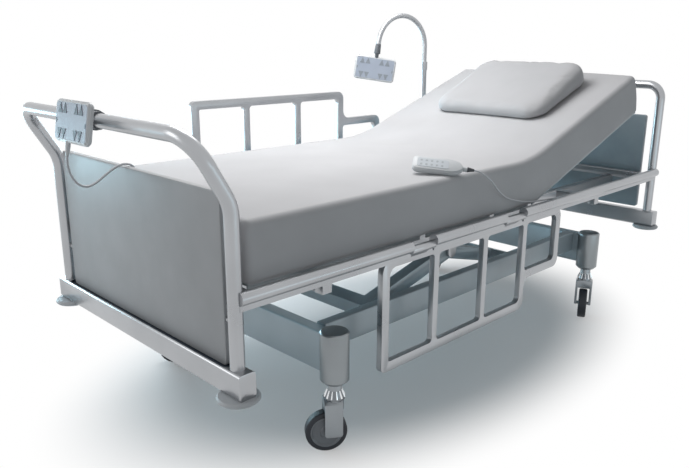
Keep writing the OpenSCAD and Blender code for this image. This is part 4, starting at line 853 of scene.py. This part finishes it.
def pad_path():
    """Stations along the mattress: underside point, top point and inset."""
    path = []
    for k in range(7):
        a = math.radians(90 * k / 6)
        x = PAD_FOOT + END_R * (1 - math.cos(a))
        path.append((Vector((x, PAD_LOW)), Vector((x, PAD_TOP)), END_R * (1 - math.sin(a)) * END_SHARE))
    for k in range(1, 61):
        x = PAD_FOOT + END_R + (LEGS_END - PAD_FOOT - END_R) * k / 60
        path.append((Vector((x, PAD_LOW)), Vector((x, PAD_TOP)), 0))
    fold_low = Vector((BACK_HINGE - lean(PAD_LOW, FOLD_ANGLE), PAD_LOW))
    fold_top = Vector((BACK_HINGE - lean(PAD_TOP, FOLD_ANGLE), PAD_TOP))
    legs_low, legs_top = Vector((LEGS_END, PAD_LOW)), Vector((LEGS_END, PAD_TOP))
    for k in range(1, 11):
        t = k / 10
        path.append((legs_low.lerp(fold_low, t), legs_top.lerp(fold_top, t), 0))
    back_low = from_back(BACK_HINGE + lean(PAD_LOW, FOLD_ANGLE), PAD_LOW)
    back_top = from_back(BACK_HINGE + lean(PAD_TOP, FOLD_ANGLE), PAD_TOP)
    reach = (back_top - fold_top).length / 2 / math.cos(math.radians(BACK_ANGLE / 2))
    bend = fold_top + Vector((reach, 0))
    for k in range(1, 17):
        t = k / 16
        top = fold_top * (1 - t) ** 2 + bend * (2 * t * (1 - t)) + back_top * t**2
        path.append((fold_low.lerp(back_low, t), top, 0))
    level = BACK_HINGE + BACK_EASE * lean(PAD_TOP, FOLD_ANGLE)
    level_low, level_top = from_back(level, PAD_LOW), from_back(level, PAD_TOP)
    for k in range(1, 9):
        t = k / 8
        path.append((back_low.lerp(level_low, t), back_top.lerp(level_top, t), 0))
    end = BACK_HINGE + BACK_LEN
    for k in range(1, 37):
        x = level + (end - END_R - level) * k / 36
        path.append((from_back(x, PAD_LOW), from_back(x, PAD_TOP), 0))
    for k in range(1, 7):
        a = math.radians(90 * k / 6)
        x = end - END_R * (1 - math.sin(a))
        path.append((from_back(x, PAD_LOW), from_back(x, PAD_TOP), END_R * (1 - math.cos(a)) * END_SHARE))
    return path


def outward(mesh):
    """The mesh with its doubles merged and its faces turned outwards."""
    shape = bmesh.new()
    shape.from_mesh(mesh)
    bmesh.ops.remove_doubles(shape, verts=shape.verts, dist=1e-5)
    bmesh.ops.recalc_face_normals(shape, faces=shape.faces)
    shape.to_mesh(mesh)
    shape.free()
    return mesh


def pad_piece(name, stations):
    """A closed length of mattress through its stations."""
    rings = []
    for low, top, inset in stations:
        rise = (top - low) / (PAD_TOP - PAD_LOW)
        rings.append([bed(low.x + rise.x * z, y, low.y + rise.y * z) for y, z in pad_outline(inset)])
    count = len(rings[0])
    faces = [
        (i * count + j, i * count + (j + 1) % count, (i + 1) * count + (j + 1) % count, (i + 1) * count + j)
        for i in range(len(rings) - 1) for j in range(count)
    ]
    faces.append(tuple(reversed(range(count))))
    faces.append(tuple((len(rings) - 1) * count + j for j in range(count)))
    mesh = bpy.data.meshes.new(name)
    mesh.from_pydata([v for ring in rings for v in ring], [], faces)
    smooth(outward(mesh), 50)
    made = link_mesh(name, mesh, mattress_cover)
    return made


path = pad_path()
knee_cut = min(range(len(path)), key=lambda i: abs(path[i][1].x - KNEE_X))
seat_cut = min(range(len(path)), key=lambda i: abs(path[i][1].x - SEAT_X))
lengths = {
    "mattress_legs": (path[: knee_cut + 1], ["mattress_calf"], ("thigh", "calf"), (KNEE_X, -450), 0.4),
    "mattress_thighs": (path[knee_cut : seat_cut + 1], ["mattress_thigh", "mattress_thigh_fold"],
                        ("platform", "thigh"), (SEAT_X, -110), 0.4),
    "mattress_body": (path[seat_cut:], ["mattress_seat", "mattress_back_fold", "mattress_back"],
                      ("platform", "back"), (40, 270), 0.4),
}
for name, (stations, nodes, bodies, (start, end), fill) in lengths.items():
    piece = pad_piece(name, stations)
    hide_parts(*nodes)
    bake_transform(piece)
    print(name, "has", len(piece.data.polygons), "faces")

# %% [markdown]
# The pillow is a foam wedge in a loose knit cover: low at the foot side, high at
# the head side, with round corners. It starts as stacked outlines a little too
# small, is cut into even small faces, and is then blown up by a cloth simulation
# with a little air inside, which rounds its faces and edges as a real cover
# would. No point may move further than a cap, and none goes into the mattress.

# %% Shape of the pillow
PILLOW_START, PILLOW_L, PILLOW_W, PILLOW_SIDE = 284.0, 402.0, 496.0, -25.6
PILLOW_FOOT, PILLOW_HEAD, PILLOW_DIP, PILLOW_R = 39.0, 83.0, 6.0, 72.0
PILLOW_INSETS = (9, 3, 1, 2, 7, 16, 40)
PILLOW_SHARES = (0.0, 0.1, 0.26, 0.58, 0.82, 0.94, 1.0)
PILLOW_LOW = PAD_TOP + CROWN + 0.6
PILLOW_VOXEL, PILLOW_AIR, PILLOW_CAP, PILLOW_FRAMES = 6.0, 4.0, 7.0, 20


def pillow_ring(inset, share, steps=10):
    """One outline of the wedge, at a share of its height."""
    half_l, half_w, r = PILLOW_L / 2 - inset, PILLOW_W / 2 - inset, PILLOW_R - inset * 0.6
    ring = []
    for corner, (sx, sy) in enumerate(((1, 1), (-1, 1), (-1, -1), (1, -1))):
        for k in range(steps + 1):
            a = math.radians(90 * corner + 90 * k / steps)
            x = sx * (half_l - r) + r * math.cos(a) + PILLOW_L / 2
            y = sy * (half_w - r) + r * math.sin(a)
            along = x / PILLOW_L
            height = PILLOW_FOOT + (PILLOW_HEAD - PILLOW_FOOT) * along
            height -= PILLOW_DIP * math.sin(math.pi * along)
            at = from_back(BACK_HINGE + PILLOW_START + x, PILLOW_LOW + share * height)
            ring.append(bed(at.x, PILLOW_SIDE + y, at.y))
    return ring


def pillow_block():
    rings = [pillow_ring(inset, share) for inset, share in zip(PILLOW_INSETS, PILLOW_SHARES)]
    count = len(rings[0])
    faces = []
    for i in range(len(rings) - 1):
        for j in range(count):
            after = (j + 1) % count
            faces.append((i * count + j, i * count + after, (i + 1) * count + after, (i + 1) * count + j))
    faces += [tuple(reversed(range(count))), tuple((len(rings) - 1) * count + j for j in range(count))]
    mesh = bpy.data.meshes.new("pillow_foam")
    mesh.from_pydata([v for ring in rings for v in ring], [], faces)
    return link_mesh("pillow_foam", outward(mesh), pillow_cover)


def blow_up(piece, frames, air, cap):
    """Cloth with air inside, run for some frames and kept as plain mesh."""
    before = [v.co.copy() for v in piece.data.vertices]
    cloth = piece.modifiers.new("air", "CLOTH")
    cloth.settings.use_pressure, cloth.settings.uniform_pressure_force = True, air
    cloth.settings.effector_weights.gravity = 0
    scene = bpy.context.scene
    for number in range(1, frames + 1):
        scene.frame_set(number)
    settled(piece)
    scene.frame_set(1)
    moves = []
    for point, old in zip(piece.data.vertices, before):
        move = point.co - old
        if move.length > cap:
            move *= cap / move.length
        point.co = old + move
        moves.append(move.length)
    print("cloth moved points by up to", round(max(moves) / MM, 1), "mm")


def keep_above(piece, floor_mm):
    """Points that went into the mattress come back onto its surface."""
    turn = math.radians(BACK_ANGLE)
    up = Vector((-math.sin(turn), 0, math.cos(turn)))
    rest = from_back(BACK_HINGE, floor_mm)
    rest = bed(rest.x, 0, rest.y)
    for point in piece.data.vertices:
        depth = (point.co - rest).dot(up)
        if depth < 0:
            point.co -= up * depth


pillow = pillow_block()
even = pillow.modifiers.new("even", "REMESH")
even.mode, even.voxel_size, even.use_smooth_shade = "VOXEL", PILLOW_VOXEL * MM, True
settled(pillow)
blow_up(pillow, PILLOW_FRAMES, PILLOW_AIR, PILLOW_CAP * MM)
calm = pillow.modifiers.new("calm", "SMOOTH")
calm.factor, calm.iterations = 0.5, 6
fine = pillow.modifiers.new("fine", "SUBSURF")
fine.levels = fine.render_levels = 1
settled(pillow)
keep_above(pillow, PILLOW_LOW)
smooth(pillow.data, 180)
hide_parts("pillow")
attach(pillow, "back")
print("pillow faces", len(pillow.data.polygons))

# %% [markdown]
# The studio is a white sweep. Its floor is a plain pale grey card that takes the
# bed's shadow. The camera and reflections see a little white over the card below
# the bed, and ever more of it from just inside the casters outwards, so the shadow
# fades towards the sweep and no extra light reaches the bed. One large soft lamp
# hangs above it, a little to the far side, so that the mattress top is brightest
# and the sides turned to the viewer stay a calm grey. A second soft lamp stands
# off the foot end, and two low cool lamps, a strong one on the far side and a
# faint one on the near side, edge the undercarriage.

# %% Floor, world and lamps
SWEEP_X, SWEEP_Y = 1.55, 0.95
SWEEP_NEAR, SWEEP_FAR, SWEEP_LEAST = 0.5, 0.84, 0.1
FLOOR_SIZE, WORLD_STRENGTH = 60, 0.3


def seen_rays(tree):
    """One where the camera or a reflection looks, nought for the light of the scene."""
    rays = add(tree, "ShaderNodeLightPath").outputs
    mirrored = sums(tree, "MAXIMUM", rays["Is Glossy Ray"], rays["Is Transmission Ray"])
    return sums(tree, "MAXIMUM", rays["Is Camera Ray"], mirrored)


def studio_floor():
    made, tree = new_material("white sweep")
    card = add(tree, "ShaderNodeBsdfPrincipled", {"Base Color": linear("#cdd0d2"), "Roughness": 0.7})
    white = add(tree, "ShaderNodeEmission", {"Color": linear("#ffffff"), "Strength": 1.0})
    place = add(tree, "ShaderNodeTexCoord").outputs["Object"]
    squeezed = add(tree, "ShaderNodeVectorMath",
                   {"operation": "MULTIPLY", 1: (1 / SWEEP_X, 1 / SWEEP_Y, 0)}, {0: place})
    reach = add(tree, "ShaderNodeVectorMath", {"operation": "LENGTH"}, {0: squeezed.outputs[0]})
    fade = add(tree, "ShaderNodeMapRange",
               {"interpolation_type": "SMOOTHSTEP", "From Min": SWEEP_NEAR, "From Max": SWEEP_FAR,
                "To Min": SWEEP_LEAST},
               {"Value": reach.outputs["Value"]})
    share = sums(tree, "MULTIPLY", fade.outputs["Result"], seen_rays(tree))
    mixed = add(tree, "ShaderNodeMixShader",
                links={0: share, 1: card.outputs[0], 2: white.outputs[0]})
    close_material(tree, mixed)
    bpy.ops.mesh.primitive_plane_add(size=FLOOR_SIZE, location=(0, 0, 0))
    floor = bpy.context.object
    floor.name = "studio_floor"
    floor.data.materials.append(made)


def studio_world(strength):
    world = bpy.data.worlds.new("studio")
    bpy.context.scene.world = world
    world.use_nodes = True
    tree = world.node_tree
    tree.nodes.clear()
    lit = add(tree, "ShaderNodeBackground", {"Color": linear("#f7f9fb"), "Strength": strength})
    seen = add(tree, "ShaderNodeBackground", {"Color": linear("#ffffff"), "Strength": 1.0})
    mix = add(tree, "ShaderNodeMixShader",
              links={0: seen_rays(tree), 1: lit.outputs[0], 2: seen.outputs[0]})
    add(tree, "ShaderNodeOutputWorld", links={0: mix.outputs[0]})


def soft_lamp(name, at, towards, size, power, tint="#ffffff"):
    data = bpy.data.lights.new(name, "AREA")
    data.shape, data.size, data.size_y, data.energy = "RECTANGLE", size[0], size[1], power
    data.color = linear(tint)[:3]
    lamp = bpy.data.objects.new(name, data)
    bpy.context.scene.collection.objects.link(lamp)
    lamp.location = at
    lamp.rotation_euler = (Vector(towards) - Vector(at)).to_track_quat("-Z", "Y").to_euler()


studio_floor()
studio_world(WORLD_STRENGTH)
soft_lamp("overhead", (-0.1, 0.45, 1.95), (-0.1, 0, 0.5), (1.2, 1.0), 27)
soft_lamp("foot_side", (-3.6, 1.2, 1.8), (-0.6, 0, 0.7), (2.0, 1.6), 24)
soft_lamp("cool_edge", (-0.6, 2.6, 0.62), (-0.5, 0, 0.3), (3.0, 0.5), 60, "#b5e2f2")
soft_lamp("low_fill", (0.3, -2.6, 0.4), (0, 0, 0.2), (2.4, 0.4), 4, "#c9e8f2")
bpy.context.scene.view_settings.view_transform = "Standard"
print(len(bpy.data.lights), "soft lamps in the studio")
